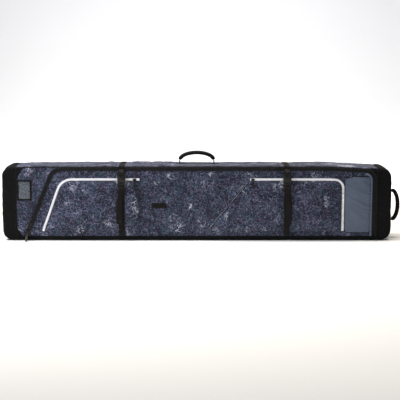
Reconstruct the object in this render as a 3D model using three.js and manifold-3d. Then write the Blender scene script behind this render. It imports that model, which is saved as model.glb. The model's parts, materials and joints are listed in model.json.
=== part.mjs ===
// Padded bag for one snowboard and its kit, standing on its long narrow side.
// +X runs along the bag to the end with the tow handle, the lid faces -Y and +Z is up.
// The origin is on the resting face, halfway along the bag and halfway through its depth.
// All lengths are in millimetres. "Out" is a distance from the middle plane towards the lid.
import * as THREE from 'three';
import { mergeVertices } from 'three/addons/utils/BufferGeometryUtils.js';
import Module from 'manifold-3d';

// Body
const LENGTH = 1650;
const HEIGHT = 315;
const DEPTH = 180;
const WALL = 6; // padded cloth
const CORNER_RADIUS = 42; // the four corners seen from the front
const EDGE_RADIUS = 10; // the rolled long seams
const END_CAP = 61; // reach of each black end cap
const GAP = 0.3; // between pieces that are sewn or laid together

// Lid and main zip
const HINGE_HEIGHT = 18; // fold line of the lid above the resting face
const ZIP_WIDTH = 19;
const ZIP_THICK = 2;
const ZIP_TAPE_FOOT = 3; // start of the lid's tape above the fold, so that it swings clear
const ZIP_SLANT = THREE.MathUtils.degToRad(22.5);
const ZIP_FOOT_INSET = 100; // from the wheel end to the foot of the slanted run
const ZIP_TURN_SLANTED = 60;
const ZIP_TURN_SQUARE = 40;

// Outer pockets
const POCKET_PROUD = 8;
const POCKET_TOP_DROP = 55; // from the top of the bag to the pocket zips
const POCKET_FOOT = 40;
const POCKET_ZIP_WIDTH = 12;
const POCKET_ZIP_THICK = 3;
const POCKET_SLANT = THREE.MathUtils.degToRad(20);
const POCKET_LEFT_INSET = 172; // from the wheel end to the foot of the slanted pocket zip
const POCKET_LEFT_TURN = 62;
const POCKET_LEFT_END_X = -242;
const POCKET_RIGHT_START_X = 226;
const POCKET_RIGHT_LEAN = 185; // how far the sewn side runs back on its way down
const POCKET_RIGHT_TURN = 36;

// Scuff panel, label window and lash tab
const SCUFF_WIDTH = 112;
const SCUFF_INSET = 26; // from the end cap seam
const SCUFF_FOOT = 32;
const SCUFF_TOP_DROP = 37;
const SCUFF_CUT = [41, 13];
const TRIM_THICK = 2.4;
const WINDOW_SIZE = [62, 89];
const WINDOW_BORDER = 7;
const WINDOW_TOP_DROP = 56;
const WINDOW_THICK = 3;
const FILM_THICK = 0.8;
const LASH_CENTRE = [-160, 148];
const LASH_SIZE = [63, 22];

// Compression straps and buckles
const STRAP_X = { left: -318, right: 382 };
const STRAP_WIDTH = 25;
const STRAP_THICK = 2.4;
const BUCKLE_WIDTH = 33;
const BUCKLE_THICK = 11;
const BUCKLE_WALL = 2.2;
const SOCKET_HEIGHT = 38;
const SOCKET_TOP_DROP = 30;
const PLUG_HEIGHT = 21;
const PLUG_CLEARANCE = 0.4;
const TAIL_LENGTH = 154;
const TAIL_SHIFT = 9;

// Zip sliders and pulls
const MAIN_SLIDER_SIZE = [16, 22, 7];
const POCKET_SLIDER_SIZE = [11, 18, 7];
const PULL_SIZE = [9, 40, 2];
const PULL_HEAD = 2; // reach of the pull above its pivot
const PULL_CLEARANCE = 2.6; // pivot in front of the slider
const PULL_FLOOR = 2; // a pull that would reach lower leans forward
const MAIN_SLIDER_REACH = { lower: 15, upper: 50 }; // along the slanted zip from its foot
const POCKET_SLIDER_X = { left: -262, right: 236 };

// Carry handle and tow handle
const TOP_HANDLE = { name: 'carry_handle', span: 145, rise: 55, width: 18 };
const END_HANDLE = { name: 'tow_handle', span: 127, rise: 50, width: 18 };
const END_HANDLE_HEIGHT = 140; // middle of the tow handle above the resting face
const TOP_HANDLE_BACK = 25; // behind the middle of the bag
const HANDLE_WEB_THICK = 3;
const HANDLE_GRIP_THICK = 13;
const HANDLE_GRIP_WIDTH = 26;
const HANDLE_GRIP_SHARE = 0.84; // of the arch that the grip covers
const HANDLE_RISER = 5; // straight web above each pivot
const ANCHOR_THICK = 2.4;
const ANCHOR_LENGTH = 34;

// Wheels
const WHEEL_RADIUS = 36;
const WHEEL_WIDTH = 26;
const WHEEL_HUB_RADIUS = 24;
const WHEEL_END_INSET = 49;
const WHEEL_SIDE_INSET = 46;
const WHEEL_PROUD = 22; // beyond the back face
const WELL_CLEARANCE = 2.5;
const HOUSING_WALL = 3;
const AXLE_RADIUS = 4;
const AXLE_CLEARANCE = 0.4;

// Inner pieces
const FOAM_THICK = 5;
const BOARD_THICK = 3;
const INNER_MARGIN = 14;
const TIE_X = [-420, 420];
const TIE_WIDTH = 38;

// Derived places
const HALF_LENGTH = LENGTH / 2;
const HALF_DEPTH = DEPTH / 2;
const CAP_X = HALF_LENGTH - END_CAP;
const ZIP_HALF = ZIP_WIDTH / 2;
const ZIP_TOP = HEIGHT - ZIP_HALF;
const ZIP_RIGHT_X = CAP_X - ZIP_HALF;
const ZIP_FOOT_X = -HALF_LENGTH + ZIP_FOOT_INSET;
const FACE = HALF_DEPTH + GAP; // where pieces laid on the lid start
const POCKET_FACE = FACE + POCKET_PROUD + GAP;
const POCKET_TOP = HEIGHT - POCKET_TOP_DROP;
const SCUFF_RIGHT_X = CAP_X - SCUFF_INSET;
const SCUFF_LEFT_X = SCUFF_RIGHT_X - SCUFF_WIDTH;
const POCKET_RIGHT_X = SCUFF_LEFT_X - GAP - POCKET_ZIP_WIDTH / 2;
const STRAP_FACE = POCKET_FACE + STRAP_THICK + GAP;
const WHEEL_X = -HALF_LENGTH + WHEEL_END_INSET;
const WHEEL_Y = HALF_DEPTH + WHEEL_PROUD - WHEEL_RADIUS;
const WHEEL_Z = { lower: WHEEL_SIDE_INSET, upper: HEIGHT - WHEEL_SIDE_INSET };
const WELL_RADIUS = WHEEL_RADIUS + WELL_CLEARANCE;
const HOUSING_X = [WHEEL_X - WELL_RADIUS - HOUSING_WALL, WHEEL_X + WELL_RADIUS + HOUSING_WALL];
const HOUSING_HALF = WHEEL_WIDTH / 2 + WELL_CLEARANCE + HOUSING_WALL;
const HOUSING_Y = [WHEEL_Y - WELL_RADIUS - HOUSING_WALL, HALF_DEPTH + HOUSING_WALL / 2];
const HUGE = 4000;

// Finishes: colour, roughness, metalness
const FINISH = {
  black: [0x1c1c1d, 0.85, 0],
  denim: [0x2e3144, 0.9, 0],
  grey: [0x4e586a, 0.6, 0],
  white: [0xe1e4f2, 0.7, 0],
  web: [0x232121, 0.8, 0],
  plastic: [0x141415, 0.45, 0],
  foam: [0x55585c, 0.95, 0],
  card: [0x8b8f96, 0.6, 0],
  film: [0xb9c0c8, 0.2, 0],
  metal: [0x9a9ca0, 0.35, 0.9],
};

// Outlines lie in three planes. The third direction is the one that their thickness grows in.
const FRONT_PLANE = basis([1, 0, 0], [0, 0, 1], [0, -1, 0]);
const SIDE_PLANE = basis([0, 1, 0], [0, 0, 1], [1, 0, 0]);
const TOP_PLANE = basis([1, 0, 0], [0, 1, 0], [0, 0, 1]);

const wasm = await Module();
wasm.setup();
const bag = new THREE.Group();

function basis(across, up, thickness) {
  const axes = [across, up, thickness].map((axis) => new THREE.Vector3(...axis));
  return new THREE.Matrix4().makeBasis(...axes);
}

// Corners are [a, b, radius]. An open line keeps its two ends as they are.
function rounded(corners, closed = true, steps = 6) {
  const count = corners.length;
  return corners.flatMap(([a, b, radius], i) => {
    const corner = new THREE.Vector2(a, b);
    const isEnd = !closed && (i === 0 || i === count - 1);
    if (isEnd || radius <= 0) return [corner];
    const towards = (j) => new THREE.Vector2(...corners[(j + count) % count]).sub(corner).normalize();
    const back = towards(i - 1);
    const ahead = towards(i + 1);
    const half = Math.acos(back.dot(ahead)) / 2;
    const middle = back.clone().add(ahead).normalize();
    const centre = corner.clone().addScaledVector(middle, radius / Math.sin(half));
    const start = corner.clone().addScaledVector(back, radius / Math.tan(half)).sub(centre);
    const end = corner.clone().addScaledVector(ahead, radius / Math.tan(half)).sub(centre);
    const turn = Math.atan2(start.cross(end), start.dot(end));
    return Array.from({ length: steps + 1 }, (_, k) =>
      start.clone().rotateAround(new THREE.Vector2(), (turn * k) / steps).add(centre));
  });
}

function rectangle(aMin, aMax, bMin, bMax, radius = 0) {
  return rounded([[aMin, bMin, radius], [aMax, bMin, radius], [aMax, bMax, radius], [aMin, bMax, radius]]);
}

// Outline of a strip of constant width along an open line.
function strip(line, width) {
  const side = (sign) => line.map((point, i) => {
    const leaving = line[Math.min(i + 1, line.length - 1)].clone().sub(line[Math.min(i, line.length - 2)]);
    const arriving = line[Math.max(i, 1)].clone().sub(line[Math.max(i - 1, 0)]);
    const along = leaving.normalize().add(arriving.normalize()).normalize();
    const reach = (sign * width) / 2 / along.dot(arriving);
    return new THREE.Vector2(point.x - along.y * reach, point.y + along.x * reach);
  });
  return [...side(1), ...side(-1).reverse()];
}

function plate(plane, outline, low, high, bevel = 0, holes = []) {
  const shape = new THREE.Shape(outline);
  shape.holes = holes.map((hole) => new THREE.Path(hole));
  const geometry = new THREE.ExtrudeGeometry(shape, {
    depth: high - low - 2 * bevel,
    bevelEnabled: bevel > 0,
    bevelThickness: bevel,
    bevelSize: bevel,
    bevelOffset: -bevel,
    bevelSegments: 2,
  });
  return geometry.translate(0, 0, low + bevel).applyMatrix4(plane);
}

function block(x, y, z) {
  const geometry = new THREE.BoxGeometry(x[1] - x[0], y[1] - y[0], z[1] - z[0]);
  return geometry.translate((x[0] + x[1]) / 2, (y[0] + y[1]) / 2, (z[0] + z[1]) / 2);
}

function drum(radius, height, segments = 32) {
  return new THREE.CylinderGeometry(radius, radius, height, segments).rotateX(Math.PI / 2);
}

function solid(geometry) {
  const bare = geometry.clone();
  bare.deleteAttribute('normal');
  bare.deleteAttribute('uv');
  const merged = mergeVertices(bare, 1e-4);
  const vertProperties = new Float32Array(merged.attributes.position.array);
  const triVerts = new Uint32Array(merged.index.array);
  return new wasm.Manifold(new wasm.Mesh({ numProp: 3, vertProperties, triVerts }));
}

function surface(body) {
  const mesh = body.getMesh();
  const geometry = new THREE.BufferGeometry();
  geometry.setAttribute('position', new THREE.BufferAttribute(mesh.vertProperties, 3));
  geometry.setIndex(new THREE.BufferAttribute(mesh.triVerts, 1));
  geometry.computeVertexNormals();
  return geometry;
}

function add(name, geometry, finish, parent = bag) {
  const [color, roughness, metalness] = FINISH[finish];
  const material = new THREE.MeshStandardMaterial({ color, roughness, metalness });
  const mesh = new THREE.Mesh(geometry, material);
  mesh.name = name;
  parent.add(mesh);
  return mesh;
}

function group(x, y, z, parent = bag) {
  const place = new THREE.Group();
  place.position.set(x, y, z);
  parent.add(place);
  return place;
}

// The line of the main zip, moved inwards by an inset: a slanted side, the top and a square side.
function zipOutline(inset, foot = HINGE_HEIGHT + GAP) {
  const top = ZIP_TOP - inset;
  const right = ZIP_RIGHT_X - inset;
  const side = (z) => ZIP_FOOT_X + (z - HINGE_HEIGHT) * Math.tan(ZIP_SLANT) + inset / Math.cos(ZIP_SLANT);
  return rounded([
    [side(foot), foot, 0],
    [side(top), top, ZIP_TURN_SLANTED - inset],
    [right, top, ZIP_TURN_SQUARE - inset],
    [right, foot, 0],
  ]);
}

function wheelHousingBlock(z, margin) {
  return block(
    [HOUSING_X[0] - margin, HOUSING_X[1] + margin],
    [HOUSING_Y[0] - margin, HOUSING_Y[1] + margin],
    [z - HOUSING_HALF - margin, z + HOUSING_HALF + margin],
  );
}

// The padded shell is one hollow form, cut along its seams into the sewn panels.
function addShell() {
  const outline = (inset) => {
    const radius = CORNER_RADIUS - inset;
    return rectangle(-HALF_LENGTH + inset, HALF_LENGTH - inset, inset, HEIGHT - inset, radius);
  };
  const outer = solid(plate(FRONT_PLANE, outline(0), -HALF_DEPTH, HALF_DEPTH, EDGE_RADIUS));
  const inside = HALF_DEPTH - WALL;
  const inner = solid(plate(FRONT_PLANE, outline(WALL), -inside, inside, EDGE_RADIUS - WALL));
  const shell = outer.subtract(inner);

  const seam = GAP / 2;
  const everywhere = [-HUGE, HUGE];
  const between = [-CAP_X + seam, CAP_X - seam];
  const middle = shell.intersect(solid(block(between, everywhere, everywhere)));
  const front = middle.intersect(solid(block(everywhere, [-HUGE, -inside - seam], everywhere)));
  const within = (inset, foot) => solid(plate(FRONT_PLANE, zipOutline(inset, foot), 0, HUGE));
  const low = -HEIGHT; // clears the fold line
  const housings = Object.values(WHEEL_Z).map((z) => solid(wheelHousingBlock(z, GAP)));
  const clearWheels = (panel) => housings.reduce((rest, cut) => rest.subtract(cut), panel);
  const beyondZip = front.subtract(within(-ZIP_HALF - seam, low));
  const aboveFold = [HINGE_HEIGHT + seam, HUGE];

  add('lid_panel', surface(front.intersect(within(ZIP_HALF + seam))), 'denim');
  const tape = front.intersect(solid(block(everywhere, [-HUGE, ZIP_THICK - HALF_DEPTH], everywhere)));
  const lidTape = within(seam, HINGE_HEIGHT + ZIP_TAPE_FOOT).subtract(within(ZIP_HALF - seam, low));
  add('main_zip_lid_tape', surface(tape.intersect(lidTape)), 'black');
  const bodyTape = within(seam - ZIP_HALF).subtract(within(-seam, low));
  add('main_zip_body_tape', surface(tape.intersect(bodyTape)), 'black');
  const corner = solid(block([-HUGE, 0], everywhere, aboveFold));
  add('wheel_end_corner', surface(beyondZip.intersect(corner)), 'denim');

  const leftCap = shell.intersect(solid(block([-HUGE, -CAP_X - seam], everywhere, everywhere)));
  add('wheel_end_cap', surface(clearWheels(leftCap)), 'black');
  const rightCap = shell.intersect(solid(block([CAP_X + seam, HUGE], everywhere, everywhere)));
  const rightCorner = beyondZip.intersect(solid(block([CAP_X - ZIP_TURN_SQUARE - ZIP_WIDTH, HUGE],
    everywhere, [HEIGHT / 2, HUGE])));
  const bridge = solid(block([CAP_X - 2 * seam, CAP_X + 2 * seam], [-HALF_DEPTH + 1, -inside - seam],
    [HEIGHT - CORNER_RADIUS / 2, HEIGHT - EDGE_RADIUS]));
  add('handle_end_cap', surface(rightCap.add(rightCorner).add(bridge)), 'black');

  const rear = [inside + seam, HUGE];
  const back = middle.intersect(solid(block(everywhere, rear, everywhere)));
  add('back_panel', surface(clearWheels(back)), 'denim');
  const shelf = [-inside + seam, inside - seam];
  const roof = [HEIGHT - WALL - EDGE_RADIUS, HUGE];
  add('top_gusset', surface(middle.intersect(solid(block(everywhere, shelf, roof)))), 'denim');
  const floor = solid(block(everywhere, [-HUGE, inside - seam], [-HUGE, HINGE_HEIGHT - seam]));
  add('bottom_gusset', surface(middle.intersect(floor)), 'black');
}

function addPadding() {
  const start = HOUSING_X[1] + INNER_MARGIN;
  const end = HALF_LENGTH - WALL - INNER_MARGIN;
  const foamFace = HALF_DEPTH - WALL - GAP;
  const boardFace = foamFace - FOAM_THICK - GAP;
  const tieFace = boardFace - BOARD_THICK - GAP;
  const outline = rectangle(start, end, INNER_MARGIN, HEIGHT - INNER_MARGIN, CORNER_RADIUS - INNER_MARGIN);
  add('back_foam', plate(FRONT_PLANE, outline, -foamFace, FOAM_THICK - foamFace), 'foam');
  add('back_stiffener', plate(FRONT_PLANE, outline, -boardFace, BOARD_THICK - boardFace), 'plastic');
  TIE_X.forEach((x, i) => {
    const ends = [2 * INNER_MARGIN, HEIGHT - 2 * INNER_MARGIN];
    const web = rectangle(x - TIE_WIDTH / 2, x + TIE_WIDTH / 2, ...ends, 4);
    add(`board_tie_${i + 1}`, plate(FRONT_PLANE, web, -tieFace, STRAP_THICK - tieFace), 'web');
  });
  const lining = zipOutline(ZIP_HALF + INNER_MARGIN, HINGE_HEIGHT + INNER_MARGIN);
  add('lid_foam', plate(FRONT_PLANE, lining, foamFace - FOAM_THICK, foamFace), 'foam');
}

function addPocketZip(name, line) {
  const band = strip(line, POCKET_ZIP_WIDTH);
  add(name, plate(FRONT_PLANE, band, FACE, FACE + POCKET_ZIP_THICK), 'white');
}

function addLeftPocket() {
  const foot = -HALF_LENGTH + POCKET_LEFT_INSET;
  const lean = Math.tan(POCKET_SLANT);
  const inset = POCKET_ZIP_WIDTH / 2 + GAP;
  const side = (z, shift) => foot + (z - POCKET_FOOT) * lean + shift / Math.cos(POCKET_SLANT);
  const top = POCKET_TOP - inset;
  add('left_pocket', plate(FRONT_PLANE, rounded([
    [side(POCKET_FOOT, inset), POCKET_FOOT, 0],
    [side(top, inset), top, POCKET_LEFT_TURN - inset],
    [POCKET_LEFT_END_X, top, 8],
    [POCKET_LEFT_END_X, POCKET_FOOT, 8],
  ]), FACE, FACE + POCKET_PROUD, 3), 'denim');
  const zip = rounded([
    [side(POCKET_FOOT, 0), POCKET_FOOT, 0],
    [side(POCKET_TOP, 0), POCKET_TOP, POCKET_LEFT_TURN],
    [POCKET_LEFT_END_X, POCKET_TOP, 0],
  ], false);
  addPocketZip('left_pocket_zip', zip);
}

function addRightPocket() {
  const inset = POCKET_ZIP_WIDTH / 2 + GAP;
  const top = POCKET_TOP - inset;
  const right = POCKET_RIGHT_X - inset;
  add('right_pocket', plate(FRONT_PLANE, rounded([
    [POCKET_RIGHT_START_X - POCKET_RIGHT_LEAN, POCKET_FOOT, 8],
    [POCKET_RIGHT_START_X, top, 4],
    [right, top, POCKET_RIGHT_TURN - inset],
    [right, POCKET_FOOT, 8],
  ]), FACE, FACE + POCKET_PROUD, 3), 'denim');
  const zip = rounded([
    [POCKET_RIGHT_START_X, POCKET_TOP, 0],
    [POCKET_RIGHT_X, POCKET_TOP, POCKET_RIGHT_TURN],
    [POCKET_RIGHT_X, POCKET_FOOT, 0],
  ], false);
  addPocketZip('right_pocket_zip', zip);
}

function addTrim() {
  const top = HEIGHT - SCUFF_TOP_DROP;
  add('scuff_panel', plate(FRONT_PLANE, rounded([
    [SCUFF_LEFT_X, SCUFF_FOOT, 17],
    [SCUFF_LEFT_X, top - SCUFF_CUT[1], 0],
    [SCUFF_LEFT_X + SCUFF_CUT[0], top, 0],
    [SCUFF_RIGHT_X, top, 6],
    [SCUFF_RIGHT_X, SCUFF_FOOT, 17],
  ]), FACE, FACE + TRIM_THICK), 'grey');

  const [x, z] = LASH_CENTRE;
  const half = LASH_SIZE.map((size) => size / 2);
  const lash = rectangle(x - half[0], x + half[0], z - half[1], z + half[1], 5);
  add('lash_tab', plate(FRONT_PLANE, lash, FACE, FACE + TRIM_THICK), 'web');

  const left = -CAP_X + GAP + TRIM_THICK;
  const high = HEIGHT - WINDOW_TOP_DROP;
  const window = (inset) => rectangle(left + inset, left + WINDOW_SIZE[0] - inset,
    high - WINDOW_SIZE[1] + inset, high - inset, WINDOW_BORDER - Math.min(inset, WINDOW_BORDER / 2));
  const hole = window(WINDOW_BORDER);
  const pane = window(WINDOW_BORDER + GAP);
  add('label_frame', plate(FRONT_PLANE, window(0), FACE, FACE + WINDOW_THICK, 0, [hole]), 'black');
  add('label_card', plate(FRONT_PLANE, pane, FACE, FACE + FILM_THICK), 'card');
  const film = FACE + FILM_THICK + GAP;
  add('label_film', plate(FRONT_PLANE, pane, film, film + FILM_THICK), 'film');
}

// Each strap runs over the top to the lid zip, and from there down the lid to its foot.
// The plug of the buckle and the loose tail hang on the lower webbing.
function addStrap(side) {
  const x = STRAP_X[side];
  const across = (width) => [x - width / 2, x + width / 2];
  const ribbon = (line) => plate(SIDE_PLANE, strip(line, STRAP_THICK), ...across(STRAP_WIDTH));
  const point = (out, z) => new THREE.Vector2(-out, z);

  const lidTop = ZIP_TOP - ZIP_HALF - GAP;
  const over = HEIGHT + GAP + STRAP_THICK / 2;
  const reach = HALF_DEPTH - EDGE_RADIUS;
  add(`${side}_strap_top`, ribbon([point(reach, over), point(-reach, over)]), 'web');

  const skin = FACE + STRAP_THICK / 2;
  const proud = POCKET_FACE + STRAP_THICK / 2;
  const ramp = POCKET_PROUD + STRAP_THICK;
  const clear = POCKET_TOP + POCKET_ZIP_WIDTH;
  add(`${side}_strap_front`, ribbon([
    point(skin, lidTop),
    point(skin, clear + ramp),
    point(proud, clear),
    point(proud, POCKET_FOOT - STRAP_THICK),
    point(skin, POCKET_FOOT - ramp - STRAP_THICK),
    point(skin, HINGE_HEIGHT + STRAP_THICK),
  ]), 'web');

  const socketTop = HEIGHT - SOCKET_TOP_DROP;
  const socketFoot = socketTop - SOCKET_HEIGHT;
  const out = [STRAP_FACE, STRAP_FACE + BUCKLE_THICK];
  const cavityWidth = BUCKLE_WIDTH - 2 * BUCKLE_WALL - 2;
  const cavity = block(across(cavityWidth), [-out[1] + BUCKLE_WALL, -out[0] - BUCKLE_WALL],
    [socketFoot - 1, socketTop - 2 * BUCKLE_WALL]);
  const catches = block(across(BUCKLE_WIDTH + 2), [-out[1] + BUCKLE_WALL + 1, -out[0] - BUCKLE_WALL - 1],
    [socketFoot + SOCKET_HEIGHT * 0.3, socketFoot + SOCKET_HEIGHT * 0.65]);
  const body = rectangle(...across(BUCKLE_WIDTH), socketFoot, socketTop, 4);
  const socket = solid(plate(FRONT_PLANE, body, ...out, 1.5)).subtract(solid(cavity));
  add(`${side}_buckle_socket`, surface(socket.subtract(solid(catches))), 'plastic');

  const plugTop = socketFoot - 2 * GAP;
  const head = plate(FRONT_PLANE, rectangle(...across(BUCKLE_WIDTH), plugTop - PLUG_HEIGHT, plugTop, 3),
    out[0], out[1], 1);
  const tongue = block(across(cavityWidth - 2 * PLUG_CLEARANCE),
    [-out[1] + BUCKLE_WALL + PLUG_CLEARANCE, -out[0] - BUCKLE_WALL - PLUG_CLEARANCE],
    [plugTop - PLUG_HEIGHT / 2, socketTop - 3 * BUCKLE_WALL]);
  add(`${side}_buckle_plug`, surface(solid(head).add(solid(tongue))), 'plastic');

  const tailTop = plugTop - PLUG_HEIGHT - GAP;
  const shift = TAIL_SHIFT * Math.sign(x);
  const hang = out[0] + BUCKLE_THICK / 2;
  const tail = ribbon([point(hang, tailTop), point(hang, tailTop - TAIL_LENGTH)]);
  add(`${side}_strap_tail`, tail.translate(shift, 0, 0), 'web');
}

// A slider lies on the zip at a height above the resting face. Its pull hangs from a pivot in
// front of it, and leans forward where it would otherwise touch the ground.
function addSlider(name, size, x, z, face, turn) {
  const [width, length, thick] = size;
  const slider = group(x, -face, z);
  slider.rotation.y = turn;
  const outline = rounded([
    [-width / 2, length / 2, 4], [width / 2, length / 2, 4],
    [width * 0.3, -length / 2, 2], [-width * 0.3, -length / 2, 2],
  ]);
  add(`${name}_slider`, plate(FRONT_PLANE, outline, GAP, GAP + thick, 1.5), 'plastic', slider);

  const drop = turn === ZIP_SLANT ? length / 4 : 0;
  const pivot = z - drop;
  const floorLean = Math.acos(Math.min(1, (pivot - PULL_FLOOR) / (PULL_SIZE[1] - PULL_HEAD)));
  const pull = group(x - drop * Math.tan(turn), -face - GAP - thick - PULL_CLEARANCE, pivot);
  pull.rotation.x = -floorLean;
  const half = PULL_SIZE[0] / 2;
  const tab = rectangle(-half, half, PULL_HEAD - PULL_SIZE[1], PULL_HEAD, 2);
  const eye = rectangle(-half / 2, half / 2, -PULL_SIZE[1] / 4, 0, 1);
  const bore = plate(FRONT_PLANE, tab, -PULL_SIZE[2] / 2, PULL_SIZE[2] / 2, 0, [eye]);
  add(`${name}_pull`, bore, 'plastic', pull);
}

function addSliders() {
  for (const [name, reach] of Object.entries(MAIN_SLIDER_REACH)) {
    const x = ZIP_FOOT_X + reach * Math.sin(ZIP_SLANT);
    const z = HINGE_HEIGHT + reach * Math.cos(ZIP_SLANT);
    addSlider(`${name}_main`, MAIN_SLIDER_SIZE, x, z, HALF_DEPTH, ZIP_SLANT);
  }
  const zipFace = FACE + POCKET_ZIP_THICK;
  addSlider('left_pocket', POCKET_SLIDER_SIZE, POCKET_SLIDER_X.left, POCKET_TOP, zipFace, Math.PI / 2);
  addSlider('right_pocket', POCKET_SLIDER_SIZE, POCKET_SLIDER_X.right, POCKET_TOP, zipFace, -Math.PI / 2);
}

// Local frame of a handle: X runs from foot to foot, Y across the webbing and Z away from the bag.
// The web turns on the line through its two feet, inside the sewn anchors.
function addHandle({ name, span, rise, width }, place) {
  const pivot = ANCHOR_THICK + 2 * GAP + width / 2;
  const riser = pivot + HANDLE_RISER;
  const crown = rise - HANDLE_GRIP_THICK / 2 - riser;
  const arch = (turn) => new THREE.Vector2((-span / 2) * Math.cos(turn), riser + crown * Math.sin(turn));
  const steps = 24;
  const line = Array.from({ length: steps + 1 }, (_, i) => arch((Math.PI * i) / steps));
  const feet = [-span / 2, span / 2].map((x) => new THREE.Vector2(x, pivot));
  const web = strip([feet[0], ...line, feet[1]], HANDLE_WEB_THICK);
  add(`${name}_web`, plate(FRONT_PLANE, web, -width / 2, width / 2), 'web', place);

  const skipped = Math.round((steps * (1 - HANDLE_GRIP_SHARE)) / 2);
  const covered = line.slice(skipped, steps + 1 - skipped);
  const halfGrip = HANDLE_GRIP_WIDTH / 2;
  const halfSlot = width / 2 + GAP;
  const sleeve = solid(plate(FRONT_PLANE, strip(covered, HANDLE_GRIP_THICK), -halfGrip, halfGrip));
  const slot = solid(plate(FRONT_PLANE, strip(line, HANDLE_WEB_THICK + 2 * GAP), -halfSlot, halfSlot));
  add(`${name}_grip`, surface(sleeve.subtract(slot)), 'web', place);

  [-1, 1].forEach((side) => {
    const foot = (side * span) / 2;
    const near = foot + side * (HANDLE_WEB_THICK / 2 + GAP);
    const ends = [near, near + side * ANCHOR_THICK].sort((a, b) => a - b);
    const far = [foot - ANCHOR_LENGTH / 2, foot + ANCHOR_LENGTH / 2];
    const patch = rectangle(...far, -halfSlot, halfSlot, 3);
    const base = plate(TOP_PLANE, patch, GAP, GAP + ANCHOR_THICK);
    const ear = block(ends, [-width / 2, width / 2], [GAP + ANCHOR_THICK / 2, riser - GAP]);
    const label = side < 0 ? 'a' : 'b';
    add(`${name}_anchor_${label}`, surface(solid(base).add(solid(ear))), 'web', place);
  });
}

function addHandles() {
  addHandle(TOP_HANDLE, group(0, TOP_HANDLE_BACK, HEIGHT));
  const end = group(HALF_LENGTH, 0, END_HANDLE_HEIGHT);
  end.rotation.y = Math.PI / 2;
  addHandle(END_HANDLE, end);
}

function addWheel(level) {
  const z = WHEEL_Z[level];
  const place = group(WHEEL_X, WHEEL_Y, z);
  const half = WHEEL_WIDTH / 2;
  const well = drum(WELL_RADIUS, WHEEL_WIDTH + 2 * WELL_CLEARANCE).translate(WHEEL_X, WHEEL_Y, z);
  const bore = drum(AXLE_RADIUS + GAP, 2 * HOUSING_HALF + 2, 16).translate(WHEEL_X, WHEEL_Y, z);
  const mouth = block([WHEEL_X - WELL_RADIUS, WHEEL_X + WELL_RADIUS], [WHEEL_Y, HUGE],
    [z - half - WELL_CLEARANCE, z + half + WELL_CLEARANCE]);
  const housing = solid(wheelHousingBlock(z, 0)).subtract(solid(well)).subtract(solid(mouth));
  add(`${level}_wheel_housing`, surface(housing.subtract(solid(bore))), 'plastic');
  add(`${level}_wheel_axle`, drum(AXLE_RADIUS, 2 * HOUSING_HALF, 16), 'metal', place);

  const rim = 4; // roll of the tread
  const seat = WHEEL_HUB_RADIUS + GAP;
  const tread = new THREE.LatheGeometry([
    [seat, -half], [WHEEL_RADIUS - rim, -half], [WHEEL_RADIUS, rim - half], [WHEEL_RADIUS, half - rim],
    [WHEEL_RADIUS - rim, half], [seat, half], [seat, -half],
  ].map(([r, y]) => new THREE.Vector2(r, y)), 32).rotateX(Math.PI / 2);
  add(`${level}_wheel_tyre`, tread, 'plastic', place);
  const dish = 4; // depth of the hub's face
  const bush = AXLE_RADIUS + AXLE_CLEARANCE;
  const hub = new THREE.LatheGeometry([
    [bush, -half], [bush + 5, -half], [bush + 5, dish - half], [WHEEL_HUB_RADIUS - 4, dish - half],
    [WHEEL_HUB_RADIUS - 4, -half], [WHEEL_HUB_RADIUS, -half], [WHEEL_HUB_RADIUS, half],
    [WHEEL_HUB_RADIUS - 4, half], [WHEEL_HUB_RADIUS - 4, half - dish], [bush + 5, half - dish],
    [bush + 5, half], [bush, half], [bush, -half],
  ].map(([r, y]) => new THREE.Vector2(r, y)), 32).rotateX(Math.PI / 2);
  add(`${level}_wheel_hub`, hub, 'grey', place);
}

addShell();
addPadding();
addLeftPocket();
addRightPocket();
addTrim();
addStrap('left');
addStrap('right');
addSliders();
addHandles();
addWheel('lower');
addWheel('upper');

export default bag;
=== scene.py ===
"""Looks of a padded snowboard bag, built around its fixed frame. Lengths are in metres.

The bag stands on its long narrow side. +X runs to the end with the tow handle, the lid faces -Y
and +Z is up. "Out" is a distance from the middle plane towards the lid.
"""
import itertools
import json
import logging
import math
from dataclasses import dataclass
from enum import Enum
from typing import Any, Callable, Sequence

import bpy
import numpy as np
from mathutils import Matrix, Vector


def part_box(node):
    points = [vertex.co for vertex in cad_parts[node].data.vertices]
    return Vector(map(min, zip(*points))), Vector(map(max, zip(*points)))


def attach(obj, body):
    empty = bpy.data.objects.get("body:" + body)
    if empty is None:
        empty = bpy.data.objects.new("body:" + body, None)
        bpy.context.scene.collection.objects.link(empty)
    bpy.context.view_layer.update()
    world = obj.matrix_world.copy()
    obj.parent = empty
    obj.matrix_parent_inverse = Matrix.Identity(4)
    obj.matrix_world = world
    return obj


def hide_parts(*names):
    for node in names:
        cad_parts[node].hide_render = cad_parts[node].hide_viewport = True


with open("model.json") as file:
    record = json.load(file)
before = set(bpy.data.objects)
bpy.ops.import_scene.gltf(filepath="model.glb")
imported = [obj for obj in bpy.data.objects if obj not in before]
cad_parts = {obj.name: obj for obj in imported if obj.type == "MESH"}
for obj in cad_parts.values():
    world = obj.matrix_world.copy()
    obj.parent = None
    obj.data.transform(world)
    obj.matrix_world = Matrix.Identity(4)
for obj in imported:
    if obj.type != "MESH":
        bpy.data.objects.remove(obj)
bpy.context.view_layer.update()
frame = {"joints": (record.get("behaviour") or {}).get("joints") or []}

LOG = logging.getLogger("bag")
MM = 0.001
FRONT = np.array([0.0, -1.0, 0.0])
UP = np.array([0.0, 0.0, 1.0])
ALONG = np.array([1.0, 0.0, 0.0])
ACROSS = np.array([0.0, 1.0, 0.0])

Array = np.ndarray
Field = Callable[[Array, Array], Array]
Colour = tuple[float, float, float]


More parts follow.
